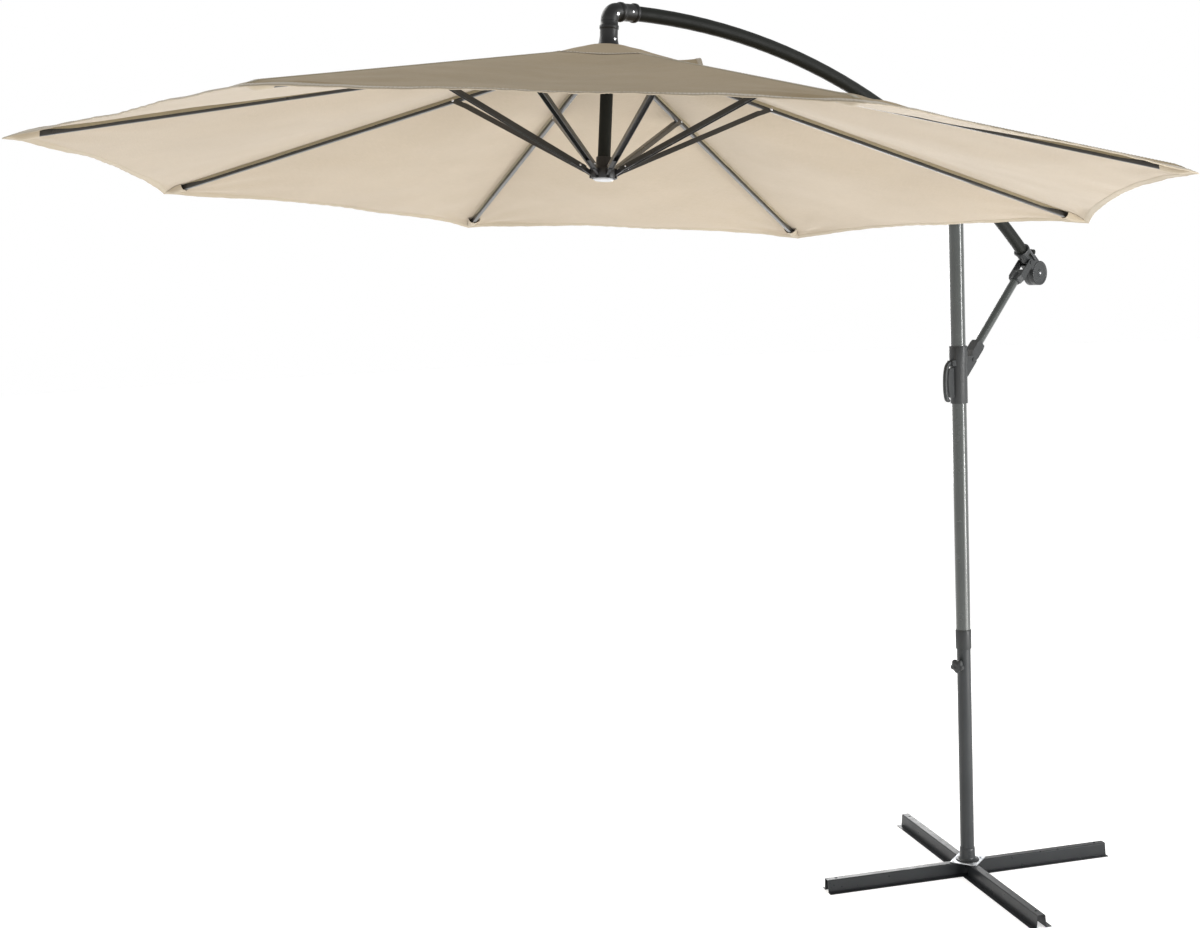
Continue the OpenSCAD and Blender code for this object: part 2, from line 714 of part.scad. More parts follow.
module strut(k) {
    wall = 1.5;
    half_in = rib_w / 2 + gap;
    half_out = half_in + wall;
    top = -rib_h / 2 - 2;
    color(steel) strut_frame(k) difference() {
        union() {
            for (s = [-1, 1]) translate([0, s * (half_in + wall / 2), 0]) {
                translate([0, -wall / 2, top]) cube([strut_len - 22, wall, 14]);
                pin_y(7.5, -wall / 2, wall / 2);
            }
            translate([38, -half_out, top]) cube([strut_len - 60, 2 * half_out, wall]);
        }
        pin_y(3.05, -20, 20);
    }
    color(plastic) strut_frame(k) {
        translate([strut_len - 60, -half_in + 0.1, top + wall + 0.1]) cube([39, 2 * half_in - 0.2, 10]);
        translate([strut_len - 22, -4, -6]) cube([22, 8, 10]);
        translate([strut_len, 0, 0]) pin_y(6, -4, 4);
    }
    color(bright) strut_frame(k) {
        pin_y(3, -half_out, half_out);
        pin_y(4.5, -half_out - 1.5, -half_out);
        pin_y(4.5, half_out, half_out + 1.5);
    }
}

// ---- Canopy ----
// A thin closed shell over a grid of points: rows run outwards, columns turn anticlockwise
module shell(grid, thick, ring = false) {
    rows = len(grid);
    cols = len(grid[0]);
    n = rows * cols;
    function at(side, i, j) = side * n + i * cols + j % cols;
    points = [for (side = [0, 1]) for (row = grid) for (p = row) p + [0, 0, side == 0 ? thick : 0]];
    last = ring ? cols - 1 : cols - 2;
    skins = [for (i = [0:rows - 2]) for (j = [0:last]) for (f = [
        [at(0, i, j), at(0, i, j + 1), at(0, i + 1, j + 1)],
        [at(0, i, j), at(0, i + 1, j + 1), at(0, i + 1, j)],
        [at(1, i, j), at(1, i + 1, j + 1), at(1, i, j + 1)],
        [at(1, i, j), at(1, i + 1, j), at(1, i + 1, j + 1)]
    ]) f];
    rims = [for (j = [0:last]) for (f = [
        [at(0, 0, j + 1), at(0, 0, j), at(1, 0, j)],
        [at(0, 0, j + 1), at(1, 0, j), at(1, 0, j + 1)],
        [at(0, rows - 1, j), at(0, rows - 1, j + 1), at(1, rows - 1, j + 1)],
        [at(0, rows - 1, j), at(1, rows - 1, j + 1), at(1, rows - 1, j)]
    ]) f];
    sides = ring ? [] : [for (i = [0:rows - 2]) for (f = [
        [at(0, i, 0), at(0, i + 1, 0), at(1, i + 1, 0)],
        [at(0, i, 0), at(1, i + 1, 0), at(1, i, 0)],
        [at(0, i + 1, cols - 1), at(0, i, cols - 1), at(1, i, cols - 1)],
        [at(0, i + 1, cols - 1), at(1, i, cols - 1), at(1, i + 1, cols - 1)]
    ]) f];
    polyhedron(points = points, faces = concat(skins, rims, sides), convexity = 4);
}
// Height of the cloth over a rib at radius r
function cloth_z(r) =
    crown_t + cloth_lift - (r - crown_r) * tan(rib_slope)
    - tip_drop * max(0, (r - tip_start) / (canopy_r - tip_start));
// Radius of the hem at an angle off the rib
function hem_r(off) =
    (canopy_r * cos(half_gore) - hem_sag * (1 - pow(1 - abs(off) / half_gore, 2)))
    / cos(half_gore - abs(off));
function gore_point(off, r) =
    [r * cos(off), r * sin(off), cloth_z(r * cos(half_gore - abs(off)) / cos(half_gore))];
module canopy_panel(k) {
    seam = 0.05;
    shares = [0, 0.25, 0.5, 0.75, (tip_start - vent_r) / (canopy_r - vent_r), 1];
    offs = [for (j = [-4:4]) j / 4 * (half_gore - seam)];
    grid = [for (s = shares) [for (off = offs) gore_point(off, vent_r + s * (hem_r(off) - vent_r))]];
    color(cloth) canopy_frame() rotate([0, 0, rib_turn(k)]) shell(grid, cloth_t);
}
module vent_flap() {
    rows = [[27, 17.5], [56, 17.5], [flap_r / 2, 1.5], [flap_r, -28.4]];
    grid = [for (row = rows) [for (a = [0:half_gore:337.5])
        let (r = a % 45 == 0 && row[0] > 60 ? row[0] * cos(half_gore) : row[0])
        [r * cos(a), r * sin(a), crown_t + row[1]]]];
    color(cloth) canopy_frame() shell(grid, cloth_t, ring = true);
}

base_bar_long();
base_bar_cross();
base_plate();
base_bolts();
mast_foot();
lower_mast_tube();
mast_collar();
clamp_knob();
upper_mast_tube();
mast_head();
arm_pivot_bolt();
slider_stop();
slider_body();
slider_pins();
release_lever();
link_tube();
link_boot();
link_fork();
arm_tube();
arm_saddle();
elbow();
elbow_rivets();
elbow_pulley();
pole_tube();
crown_hub();
crown_pins();
runner_hub();
runner_cap();
winder_case_front();
winder_case_back();
winder_drum();
cord_winding();
crank_arm();
crank_grip();
lift_cord();
vent_flap();
for (k = [1:8]) {
    rib(k);
    strut(k);
    canopy_panel(k);
}
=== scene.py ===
import math

import bmesh
import bpy
import numpy as np
from mathutils import Matrix, Vector, noise


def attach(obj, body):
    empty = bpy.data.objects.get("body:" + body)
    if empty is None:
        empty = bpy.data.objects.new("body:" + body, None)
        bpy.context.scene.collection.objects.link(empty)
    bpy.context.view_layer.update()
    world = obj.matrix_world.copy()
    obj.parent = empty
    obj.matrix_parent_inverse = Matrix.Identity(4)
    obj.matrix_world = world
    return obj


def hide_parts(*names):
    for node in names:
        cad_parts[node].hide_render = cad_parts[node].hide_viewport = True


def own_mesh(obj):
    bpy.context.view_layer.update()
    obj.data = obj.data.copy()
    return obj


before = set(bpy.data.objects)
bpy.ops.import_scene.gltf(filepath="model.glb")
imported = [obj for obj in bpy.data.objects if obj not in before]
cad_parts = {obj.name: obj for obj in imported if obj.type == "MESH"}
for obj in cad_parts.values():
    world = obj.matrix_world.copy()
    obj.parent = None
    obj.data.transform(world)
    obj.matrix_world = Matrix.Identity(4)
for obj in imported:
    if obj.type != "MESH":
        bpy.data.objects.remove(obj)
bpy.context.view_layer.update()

MM = 0.001

# ---- Sizes repeated from the CAD source, in metres ----
LEAN = math.radians(6.29)
CENTRE_X, CENTRE_Z = 1.5025, 2.308
CANOPY_R, CROWN_R, CROWN_T = 1.5, 0.045, 0.342
RUNNER_R, RUNNER_T = 0.034, 0.030
JOINT_R = 0.472
RIB_W, RIB_H = 0.012, 0.015
HEM_SAG, VENT_R, FLAP_R = 0.045, 0.190, 0.262
CLOTH_T = 0.0015
TIP_START, TIP_DROP = CANOPY_R - 0.048, 0.009
ARM_BEND_R, ARM_REACH, PIVOT_Z = 2.660, 1.420, 2.351
ARM_SWEEP = math.radians(42.6)
ELBOW_R, ELBOW_BEND = 0.023, 0.026
UPPER_R, LOWER_R = 0.024, 0.023
SLIDER_Z = 1.596
KNOB_Z, KNOB_DIR = 0.724, math.radians(188)
CASE_W = 0.040

HALF = math.radians(22.5)
RIB_SLOPE = math.atan2(CROWN_T, CANOPY_R - CROWN_R)
RIB_LEN = (CANOPY_R - 0.060 - CROWN_R) / math.cos(RIB_SLOPE)
JOINT_A = (JOINT_R - CROWN_R) / math.cos(RIB_SLOPE)
JOINT_T = CROWN_T - JOINT_A * math.sin(RIB_SLOPE)
STRUT_LEN = math.hypot(JOINT_R - RUNNER_R, JOINT_T - RUNNER_T)
STRUT_SLOPE = math.atan2(JOINT_T - RUNNER_T, JOINT_R - RUNNER_R)
CLOTH_LIFT = (RIB_H / 2 + 0.0008) / math.cos(RIB_SLOPE)
ARM_O = Vector((-ARM_REACH, PIVOT_Z - ARM_BEND_R * math.cos(math.asin(ARM_REACH / ARM_BEND_R))))
ARM_END = ARM_O + ARM_BEND_R * Vector((math.sin(ARM_SWEEP), math.cos(ARM_SWEEP)))
END_DIR = Vector((math.cos(ARM_SWEEP), -math.sin(ARM_SWEEP)))
END_UP = Vector((math.sin(ARM_SWEEP), math.cos(ARM_SWEEP)))
WINDER = ARM_END + 0.075 * END_DIR - 0.008 * END_UP
LEVEL_Z = ARM_O.y + ARM_BEND_R
CORNER = Vector((-CENTRE_X + math.tan(LEAN) * (LEVEL_Z - CENTRE_Z), LEVEL_Z))
CORNER_T = (LEVEL_Z - CENTRE_Z) / math.cos(LEAN)
ELBOW_TURN = math.pi / 2 - LEAN


# ---- Frames ----
def frame_of(origin, x_dir, y_dir, z_dir):
    """The matrix that places local axes at an origin."""
    m = Matrix.Identity(4)
    for i, axis in enumerate((x_dir, y_dir, z_dir, origin)):
        for j in range(3):
            m[j][i] = axis[j]
    return m


def xz_frame(point, angle=0.0):
    """Local X turned up by angle in the XZ plane, local Y along the world's."""
    c, s = math.cos(angle), math.sin(angle)
    return frame_of((point[0], 0, point[1]), (c, 0, s), (0, 1, 0), (-s, 0, c))


def turned_down(angle):
    return Matrix.Rotation(angle, 4, "Y")


CANOPY = Matrix.Translation((-CENTRE_X, 0, CENTRE_Z)) @ turned_down(LEAN)


def rib_turn(k):
    return HALF + (k - 1) * math.pi / 4


def sector_frame(k):
    """Canopy axes turned so that +X runs out over rib k."""
    return CANOPY @ Matrix.Rotation(rib_turn(k), 4, "Z")


def rib_frame(k):
    return sector_frame(k) @ Matrix.Translation((CROWN_R, 0, CROWN_T)) @ turned_down(RIB_SLOPE)


def strut_frame(k):
    at = Matrix.Translation((JOINT_R, 0, JOINT_T))
    return sector_frame(k) @ at @ turned_down(math.pi - STRUT_SLOPE)


# ---- Mesh tools ----
class Build:
    """Collects points and faces, each face with a material index, for one piece."""

    def __init__(self):
        self.points, self.faces, self.slots, self.uvs = [], [], [], None

    def add(self, points, faces, slot=0, at=None):
        base = len(self.points)
        for p in points:
            self.points.append((at @ Vector(p)) if at is not None else Vector(p))
        for f in faces:
            self.faces.append([base + i for i in f])
            self.slots.append(slot)

    def loft(self, rings, slot=0, at=None, caps=True, closed=True):
        """Skins a list of rings of equal length. closed joins each ring's ends."""
        n = len(rings[0])
        points = [p for ring in rings for p in ring]
        faces = []
        for i in range(len(rings) - 1):
            for j in range(n if closed else n - 1):
                a, b = i * n + j, i * n + (j + 1) % n
                faces.append((a, b, b + n, a + n))
        if caps and closed:
            faces.append(tuple(range(n - 1, -1, -1)))
            faces.append(tuple(len(points) - n + j for j in range(n)))
        self.add(points, faces, slot, at)

    def lathe(self, profile, n=48, slot=0, at=None, closed=False):
        """Turns a profile of (radius, height) about local Z. closed joins its last point to its first."""
        rings = []
        for r, h in profile:
            r = max(r, 1e-5)
            rings.append([
                (r * math.cos(2 * math.pi * j / n), r * math.sin(2 * math.pi * j / n), h)
                for j in range(n)
            ])
        if closed:
            rings.append(rings[0])
        self.loft(rings, slot, at, caps=not closed)

    def slab(self, outline, half, slot=0, at=None):
        """An outline in local XZ made 2 * half wide about y = 0."""
        n = len(outline)
        points = [(x, -half, z) for x, z in outline] + [(x, half, z) for x, z in outline]
        faces = [tuple(range(n)), tuple(range(2 * n - 1, n - 1, -1))]
        faces += [(i, i + n, (i + 1) % n + n, (i + 1) % n) for i in range(n)]
        self.add(points, faces, slot, at)

    def box(self, low, high, slot=0, at=None):
        outline = [(low[0], low[2]), (high[0], low[2]), (high[0], high[2]), (low[0], high[2])]
        mid, half = (low[1] + high[1]) / 2, (high[1] - low[1]) / 2
        place = Matrix.Translation((0, mid, 0))
        self.slab(outline, half, slot, place if at is None else at @ place)

    def piece(self, name, body, slot_name, materials, bevel=0.0, smooth=40, weld=True):
        mesh = bpy.data.meshes.new(name)
        mesh.from_pydata([tuple(p) for p in self.points], [], self.faces)
        mesh.polygons.foreach_set("material_index", self.slots)
        if self.uvs is not None:
            layer = mesh.uv_layers.new(name="cloth")
            loops = np.zeros(len(mesh.loops), np.int32)
            mesh.loops.foreach_get("vertex_index", loops)
            layer.data.foreach_set("uv", np.asarray(self.uvs, np.float32)[loops].ravel())
        work = bmesh.new()
        work.from_mesh(mesh)
        if weld:
            bmesh.ops.remove_doubles(work, verts=work.verts, dist=1e-6)
        bmesh.ops.recalc_face_normals(work, faces=work.faces)
        work.to_mesh(mesh)
        work.free()
        for m in materials:
            mesh.materials.append(m)
        mesh.polygons.foreach_set("use_smooth", [True] * len(mesh.polygons))
        if not bevel:
            mesh.set_sharp_from_angle(angle=math.radians(smooth))
        obj = bpy.data.objects.new(name, mesh)
        bpy.context.scene.collection.objects.link(obj)
        if bevel:
            add_bevel(obj, bevel)
        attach(obj, body)
        return obj


def add_bevel(obj, width, segments=3, angle=32):
    m = obj.modifiers.new("edges", "BEVEL")
    m.width = width
    m.segments = segments
    m.limit_method = "ANGLE"
    m.angle_limit = math.radians(angle)
    m.harden_normals = True
    return m


def circle(r, n=32, phase=0.0):
    return [
        (r * math.cos(2 * math.pi * j / n + phase), r * math.sin(2 * math.pi * j / n + phase))
        for j in range(n)
    ]


def arc(c, r, a0, a1, n=6):
    """Points on an arc in a plane, angles in degrees."""
    steps = [math.radians(a0 + (a1 - a0) * i / n) for i in range(n + 1)]
    return [(c[0] + r * math.cos(a), c[1] + r * math.sin(a)) for a in steps]


ALONG_X = Matrix.Rotation(math.pi / 2, 4, "Y")

# ---- Materials ----
class Shader:
    """A small helper for building one Principled material out of nodes."""

    def __init__(self, name):
        self.mat = bpy.data.materials.new(name)
        self.mat.use_nodes = True
        self.nodes = self.mat.node_tree.nodes
        self.links = self.mat.node_tree.links
        self.out = next(n for n in self.nodes if n.type == "OUTPUT_MATERIAL")
        self.bsdf = next(n for n in self.nodes if n.type == "BSDF_PRINCIPLED")
        self.coords = self.nodes.new("ShaderNodeTexCoord")

    def put(self, **values):
        for name, value in values.items():
            self.bsdf.inputs[name.replace("_", " ")].default_value = value
        return self

    def node(self, kind, **values):
        n = self.nodes.new(kind)
        for name, value in values.items():
            if name.startswith("in_"):
                n.inputs[name[3:].replace("_", " ")].default_value = value
            else:
                setattr(n, name, value)
        return n

    def noise(self, scale, detail=3.0, rough=0.55, stretch=None, source="Object"):
        n = self.node("ShaderNodeTexNoise", in_Scale=scale, in_Detail=detail, in_Roughness=rough)
        vector = self.coords.outputs[source]
        if stretch:
            m = self.node("ShaderNodeMapping")
            m.inputs["Scale"].default_value = stretch
            self.links.new(vector, m.inputs["Vector"])
            vector = m.outputs["Vector"]
        self.links.new(vector, n.inputs["Vector"])
        return n.outputs["Fac"]

    def ramp(self, value, low, high, a=0.3, b=0.7):
        """A colour ramp between two colours, from a to b of the value."""
        r = self.node("ShaderNodeValToRGB")
        r.color_ramp.elements[0].position, r.color_ramp.elements[1].position = a, b
        r.color_ramp.elements[0].color = (*low, 1)
        r.color_ramp.elements[1].color = (*high, 1)
        self.links.new(value, r.inputs["Fac"])
        return r.outputs["Color"]

    def spread(self, value, low, high):
        """The value, about 0.3 to 0.7, spread between two numbers."""
        m = self.node("ShaderNodeMapRange")
        for name, number in (("From Min", 0.3), ("From Max", 0.7), ("To Min", low), ("To Max", high)):
            m.inputs[name].default_value = number
        self.links.new(value, m.inputs["Value"])
        return m.outputs["Result"]

    def bump(self, height, strength, distance, under=None):
        b = self.node("ShaderNodeBump")
        b.inputs["Strength"].default_value = strength
        b.inputs["Distance"].default_value = distance
        self.links.new(height, b.inputs["Height"])
        if under is not None:
            self.links.new(under, b.inputs["Normal"])
        return b.outputs["Normal"]

    def link(self, value, name):
        self.links.new(value, self.bsdf.inputs[name])
        return self


def powder_coat(name, colour, rough, coat, grain=0.05, fleck=0.15, spec=0.5):
    """Oven-baked powder coat: a fine orange-peel skin under a soft gloss."""
    s = Shader(name)
    cloud = s.noise(5.0, 4.0)
    low = tuple(c * (1 - fleck) for c in colour)
    high = tuple(c * (1 + fleck) for c in colour)
    s.link(s.ramp(cloud, low, high), "Base Color")
    s.link(s.spread(s.noise(26.0, 5.0), rough * 0.82, rough * 1.22), "Roughness")
    peel = s.bump(s.noise(420.0, 2.0), grain, 0.0004)
    s.link(s.bump(s.noise(9.0, 2.0), 0.02, 0.002, peel), "Normal")
    s.put(Metallic=0.0, Coat_Weight=coat, Coat_Roughness=0.14, IOR=1.5, Specular_IOR_Level=spec)
    return s.mat


def moulded(name, colour, rough, grain=0.18):
    """Injection-moulded plastic with a fine spark-eroded skin."""
    s = Shader(name)
    low = tuple(c * 0.86 for c in colour)
    high = tuple(c * 1.14 for c in colour)
    s.link(s.ramp(s.noise(9.0, 4.0), low, high), "Base Color")
    s.link(s.spread(s.noise(60.0, 4.0), rough * 0.88, rough * 1.15), "Roughness")
    s.link(s.bump(s.noise(900.0, 2.0), grain, 0.0004), "Normal")
    s.put(IOR=1.46)
    return s.mat


def zinc(name):
    """Zinc-plated sheet: cool, softly mottled, with fine rolling lines."""
    s = Shader(name)
    cells = s.node("ShaderNodeTexVoronoi", in_Scale=70.0)
    s.links.new(s.coords.outputs["Object"], cells.inputs["Vector"])
    s.link(s.ramp(cells.outputs["Color"], (0.55, 0.57, 0.60), (0.76, 0.78, 0.80)), "Base Color")
    s.link(s.spread(s.noise(35.0, 5.0), 0.30, 0.52), "Roughness")
    s.link(s.bump(s.noise(120.0, 3.0, stretch=(1, 12, 1)), 0.08, 0.0005), "Normal")
    s.put(Metallic=0.85)
    return s.mat


def polished(name, colour, rough):
    """Bright turned steel with faint concentric wear."""
    s = Shader(name)
    s.link(s.ramp(s.noise(150.0, 3.0), tuple(c * 0.85 for c in colour), colour), "Base Color")
    s.link(s.spread(s.noise(90.0, 4.0), rough * 0.7, rough * 1.4), "Roughness")
    s.link(s.bump(s.noise(300.0, 3.0, stretch=(1, 1, 8)), 0.05, 0.0003), "Normal")
    s.put(Metallic=1.0)
    return s.mat


def woven(name, low, high, pitch=0.0028, relief=0.30, sheen=0.25):
    """Plain-woven polyester: two crossing sets of yarns along the cloth's own UV axes."""
    s = Shader(name)
    uv = s.coords.outputs["UV"]
    bands = []
    for direction in ("X", "Y"):
        w = s.node("ShaderNodeTexWave", bands_direction=direction, in_Scale=0.314 / pitch)
        w.inputs["Distortion"].default_value = 0.6
        w.inputs["Detail"].default_value = 1.0
        s.links.new(uv, w.inputs["Vector"])
        bands.append(w.outputs["Fac"])
    cross = s.node("ShaderNodeMath", operation="MULTIPLY")
    s.links.new(bands[0], cross.inputs[0])
    s.links.new(bands[1], cross.inputs[1])
    soft = s.noise(2.2, 4.0, 0.6)
    slub = s.noise(40.0, 2.0, 0.6, stretch=(1, 14, 1), source="UV")
    tone = s.ramp(soft, low, high)
    yarn = s.ramp(slub, (0.93, 0.93, 0.93), (1.05, 1.05, 1.05))
    mix = s.node("ShaderNodeMix", data_type="RGBA", blend_type="MULTIPLY")
    mix.inputs[0].default_value = 1.0
    s.links.new(tone, mix.inputs[6])
    s.links.new(yarn, mix.inputs[7])
    s.link(mix.outputs[2], "Base Color")
    s.link(s.spread(s.noise(18.0, 3.0), 0.78, 0.90), "Roughness")
    threads = s.bump(cross.outputs[0], relief, 0.0005)
    s.link(s.bump(s.noise(14.0, 4.0, 0.6), 0.10, 0.004, threads), "Normal")
    s.put(Sheen_Weight=sheen, Sheen_Roughness=0.45, Specular_IOR_Level=0.25)
    return s.mat


def braided(name):
    s = Shader(name)
    w = s.node("ShaderNodeTexWave", bands_direction="DIAGONAL", in_Scale=220.0)
    s.links.new(s.coords.outputs["Object"], w.inputs["Vector"])
    s.link(s.ramp(w.outputs["Fac"], (0.55, 0.53, 0.48), (0.80, 0.78, 0.72)), "Base Color")
    s.link(s.bump(w.outputs["Fac"], 0.4, 0.0006), "Normal")
    s.put(Roughness=0.8)
    return s.mat


MAST_PAINT = powder_coat("mast_powder_coat", (0.042, 0.048, 0.045), 0.24, 0.70)
LOWER_PAINT = powder_coat("lower_mast_powder_coat", (0.030, 0.033, 0.035), 0.36, 0.10, spec=0.30)
BASE_PAINT = powder_coat("base_powder_coat", (0.017, 0.019, 0.021), 0.32, 0.06, spec=0.26)
ARM_PAINT = powder_coat("arm_powder_coat", (0.011, 0.012, 0.010), 0.44, 0.0, spec=0.14)
RIB_PAINT = powder_coat("rib_paint", (0.020, 0.020, 0.019), 0.32, 0.45)
ZINC = zinc("zinc_plate")
BRIGHT = polished("bright_steel", (0.78, 0.78, 0.80), 0.22)
BLACK = moulded("black_plastic", (0.014, 0.014, 0.015), 0.40)
GREY = moulded("grey_plastic", (0.022, 0.024, 0.025), 0.42)
DISC = moulded("disc_plastic", (0.50, 0.51, 0.53), 0.22, 0.05)
CLOTH = woven("canopy_cloth", (0.416, 0.344, 0.254), (0.460, 0.382, 0.284))
# The cloth's outer side is the same woven cloth painted darker and yellower, with less sheen: painted shade
# for the side turned away from the lit floor.
CLOTH_OUTER_PAINTED_SHADE = woven("canopy_cloth_outer_painted_shade", (0.365, 0.283, 0.172), (0.410, 0.318, 0.196), sheen=0.06)
SEAM = woven("seam_cloth", (0.300, 0.255, 0.165), (0.345, 0.295, 0.195), 0.0022, 0.45)
HEM = woven("hem_cloth", (0.430, 0.365, 0.270), (0.480, 0.408, 0.305), 0.0024, 0.40)
THREAD = moulded("sewing_thread", (0.46, 0.40, 0.30), 0.62, 0.4)
CORD = braided("cord_braid")

# ---- Canopy cloth ----
CREASE = 0.007
SAG = 0.017
BAND_W = 0.018
FINE_ROWS, FINE_W = 9, 0.055
COLUMNS = [i / 32 for i in range(-32, 33)]


def smooth_step(x, low, high):
    t = min(1.0, max(0.0, (x - low) / (high - low)))
    return t * t * (3 - 2 * t)


def spaced(t):
    """Angle share across a sector, closer together over the rib and at the sector's edges."""
    return t - 0.75 * math.sin(2 * math.pi * t) / (2 * math.pi)


def hem_radius(off):
    share = 1 - abs(off) / HALF
    return (CANOPY_R * math.cos(HALF) - HEM_SAG * (1 - share ** 2)) / math.cos(HALF - abs(off))


def taut_height(off, r):
    """Height of the stretched cloth over the plane of the tips, bent softly over the rib."""
    soft = CREASE / r
    bend = math.sqrt(off * off + soft * soft) - soft
    chord = r * math.cos(HALF - bend) / math.cos(HALF)
    droop = max(0.0, (chord - TIP_START) / (CANOPY_R - TIP_START))
    return CROWN_T + CLOTH_LIFT - (chord - CROWN_R) * math.tan(RIB_SLOPE) - TIP_DROP * droop


def wrinkle(off, r, k):
    """Slack, tension folds from the tip, puckers at the hem and soft unevenness."""
    share = abs(off) / HALF
    hem = hem_radius(off)
    out = (r - VENT_R) / (hem - VENT_R)
    x, y = r * math.cos(off), r * math.sin(off)
    free = smooth_step(abs(y), 0.009, 0.075)
    z = -SAG * math.sin(math.pi * share / 2) ** 2 * (0.30 + 0.70 * math.sin(math.pi * min(1, max(0, out))))
    from_tip = math.hypot(CANOPY_R - x, y)
    around = math.atan2(y, CANOPY_R - x + 1e-6)
    fold = 0.0036 * smooth_step(from_tip, 0.04, 0.14) * math.exp(-from_tip / 0.26)
    z += fold * (1 - share ** 2) ** 2 * math.cos(17 * around + k) * free
    z += 0.0007 * math.exp(-(hem - r) / 0.022) * math.cos(2 * math.pi * y / 0.041) * free
    turn = rib_turn(k)
    place = Vector((r * math.cos(off + turn), r * math.sin(off + turn), 0.37))
    z += free * 0.0060 * noise.noise(place * 3.1)
    z += free * 0.0026 * noise.noise(place * 8.0)
    return z


def cloth_point(off, r, k, lift=0.0):
    z = taut_height(off, r) + wrinkle(off, r, k) + 0.0004 + lift
    return Vector((r * math.cos(off), r * math.sin(off), z))


def across(y, r):
    """The angle that is y metres to the side of the rib at radius r."""
    return math.asin(max(-1, min(1, y / r)))


def row_radii(hem):
    start, fine = VENT_R, hem - FINE_W
    rows = [start + (fine - start) * i / 44 for i in range(44)]
    return rows + [fine + FINE_W * i / FINE_ROWS for i in range(FINE_ROWS + 1)]


def gore_area():
    """Flat area of one sector of cloth, from rib centre to the seams' middles."""
    total, steps = 0.0, 200
    for i in range(steps):
        off = HALF * (i + 0.5) / steps
        total += (hem_radius(off) ** 2 - VENT_R ** 2) / 2 * (HALF / steps) * 2
    return total / math.cos(RIB_SLOPE)


def grid_faces(rows, cols):
    return [
        (i * cols + j, i * cols + j + 1, (i + 1) * cols + j + 1, (i + 1) * cols + j)
        for i in range(rows - 1) for j in range(cols - 1)
    ]


def cloth_sheet(name, k, points_rows, uvs, thick):
    b = Build()
    rows, cols = len(points_rows), len(points_rows[0])
    b.add([p for row in points_rows for p in row], grid_faces(rows, cols), 0, sector_frame(k))
    b.uvs = [uv for row in uvs for uv in row]
    obj = b.piece(name, f"gore_{k}", "canopy_cloth", [CLOTH_OUTER_PAINTED_SHADE, CLOTH], smooth=180, weld=False)
    top = sum((p.normal.z for p in obj.data.polygons))
    if top < 0:
        obj.data.flip_normals()
    s = obj.modifiers.new("cloth", "SOLIDIFY")
    s.thickness = thick
    s.offset = 1.0
    s.use_rim = False
    # The two layers take different copies of one cloth: the darker painted-shade copy for the outer side, the
    # plain copy for the underside.
    s.material_offset = 1
    return obj


def fold_with_rib(obj):
    """Gives a cloth piece its own copy of its mesh."""
    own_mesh(obj)


def band(b, k, radius_of, width, inward, slot, over=0.0007, columns=COLUMNS):
    """A folded band along the edge radius_of(off). inward is -1 where the cloth lies inside the edge."""
    top, low = CLOTH_T + over, -over
    rings = []
    for t in columns:
        off = spaced(t) * HALF
        edge = radius_of(off)
        section = [
            (width, low * 0.2), (width * 0.93, low), (0.0035, low), (0.0008, low * 1.25),
            (-0.0007, CLOTH_T / 2), (0.0008, top * 1.08), (0.0035, top), (width * 0.93, top),
            (width, CLOTH_T + over * 0.2)
        ]
        rings.append([cloth_point(off, edge + inward * d, k, h) for d, h in section])
    b.loft(rings, slot, sector_frame(k), caps=False, closed=True)


def seam_strip(b, k, y0, y1, low, high, r0, r1, slot, steps=60):
    """A sewn strip beside or over the rib, from radius r0 to r1."""
    rings = []
    for i in range(steps + 1):
        r = r0 + (r1 - r0) * i / steps
        ring = []
        for y, h in ((y0, 0.4), (y0 + 0.0012, 1), (y1 - 0.0012, 1), (y1, 0.4)):
            ring.append(cloth_point(across(y, r), r, k, high * h))
        for y, h in ((y1, 0.4), (y0, 0.4)):
            ring.append(cloth_point(across(y, r), r, k, low * h))
        rings.append(ring)
    b.loft(rings, slot, sector_frame(k))


def hanging_edge(b, k, side, slot, steps=70):
    """The seam's raw edge, which hangs beside the rib like a narrow curtain."""
    rings = []
    for i in range(steps + 1):
        r = VENT_R + 0.012 + (CANOPY_R - 0.098 - VENT_R) * i / steps
        place = sector_frame(k) @ Vector((r, 0.02 * side, 0.3))
        deep = 0.0078 * smooth_step(i, 0, 5) * smooth_step(steps - i, 0, 5) + 0.0008
        deep += 0.0012 * noise.noise(place * 11.0)
        near = 0.0068 + 0.0005 * noise.noise(place * 17.0)
        ring = []
        for y, h in ((near, 0.0006), (near + 0.0011, 0.0006), (near + 0.0018, -deep), (near + 0.0007, -deep)):
            ring.append(cloth_point(across(side * y, r), r, k, h))
        rings.append(ring)
    b.loft(rings, slot, sector_frame(k))


def stitch(b, p, q, up, size=0.0006, slot=0):
    """One stitch from p to q, a small spindle."""
    p, q = Vector(p), Vector(q)
    mid, along = (p + q) / 2, q - p
    side = along.cross(up).normalized() * size
    lift = Vector(up) * size
    a, c = p + along * 0.08, q - along * 0.08
    b.add([a, mid + side, mid + lift, mid - side, mid - lift, c],
          [(0, 1, 2), (0, 2, 3), (0, 3, 4), (0, 4, 1), (5, 2, 1), (5, 3, 2), (5, 4, 3), (5, 1, 4)], slot)


def stitch_line(b, points, up, pitch=0.008, slot=0):
    """A row of stitches with small gaps, along a line of points."""
    lengths = [0.0]
    for a, c in zip(points, points[1:]):
        lengths.append(lengths[-1] + (c - a).length)
    count = max(1, int(lengths[-1] / pitch))

    def at(s):
        i = int(np.searchsorted(lengths, s)) - 1
        i = min(max(i, 0), len(points) - 2)
        span = lengths[i + 1] - lengths[i]
        return points[i].lerp(points[i + 1], (s - lengths[i]) / span if span else 0)

    for n in range(count):
        s = n * lengths[-1] / count
        stitch(b, at(s), at(s + 0.72 * lengths[-1] / count), up, slot=slot)


POCKET_LEN, POCKET_HALF, POCKET_DEEP = 0.080, 0.018, 0.0184


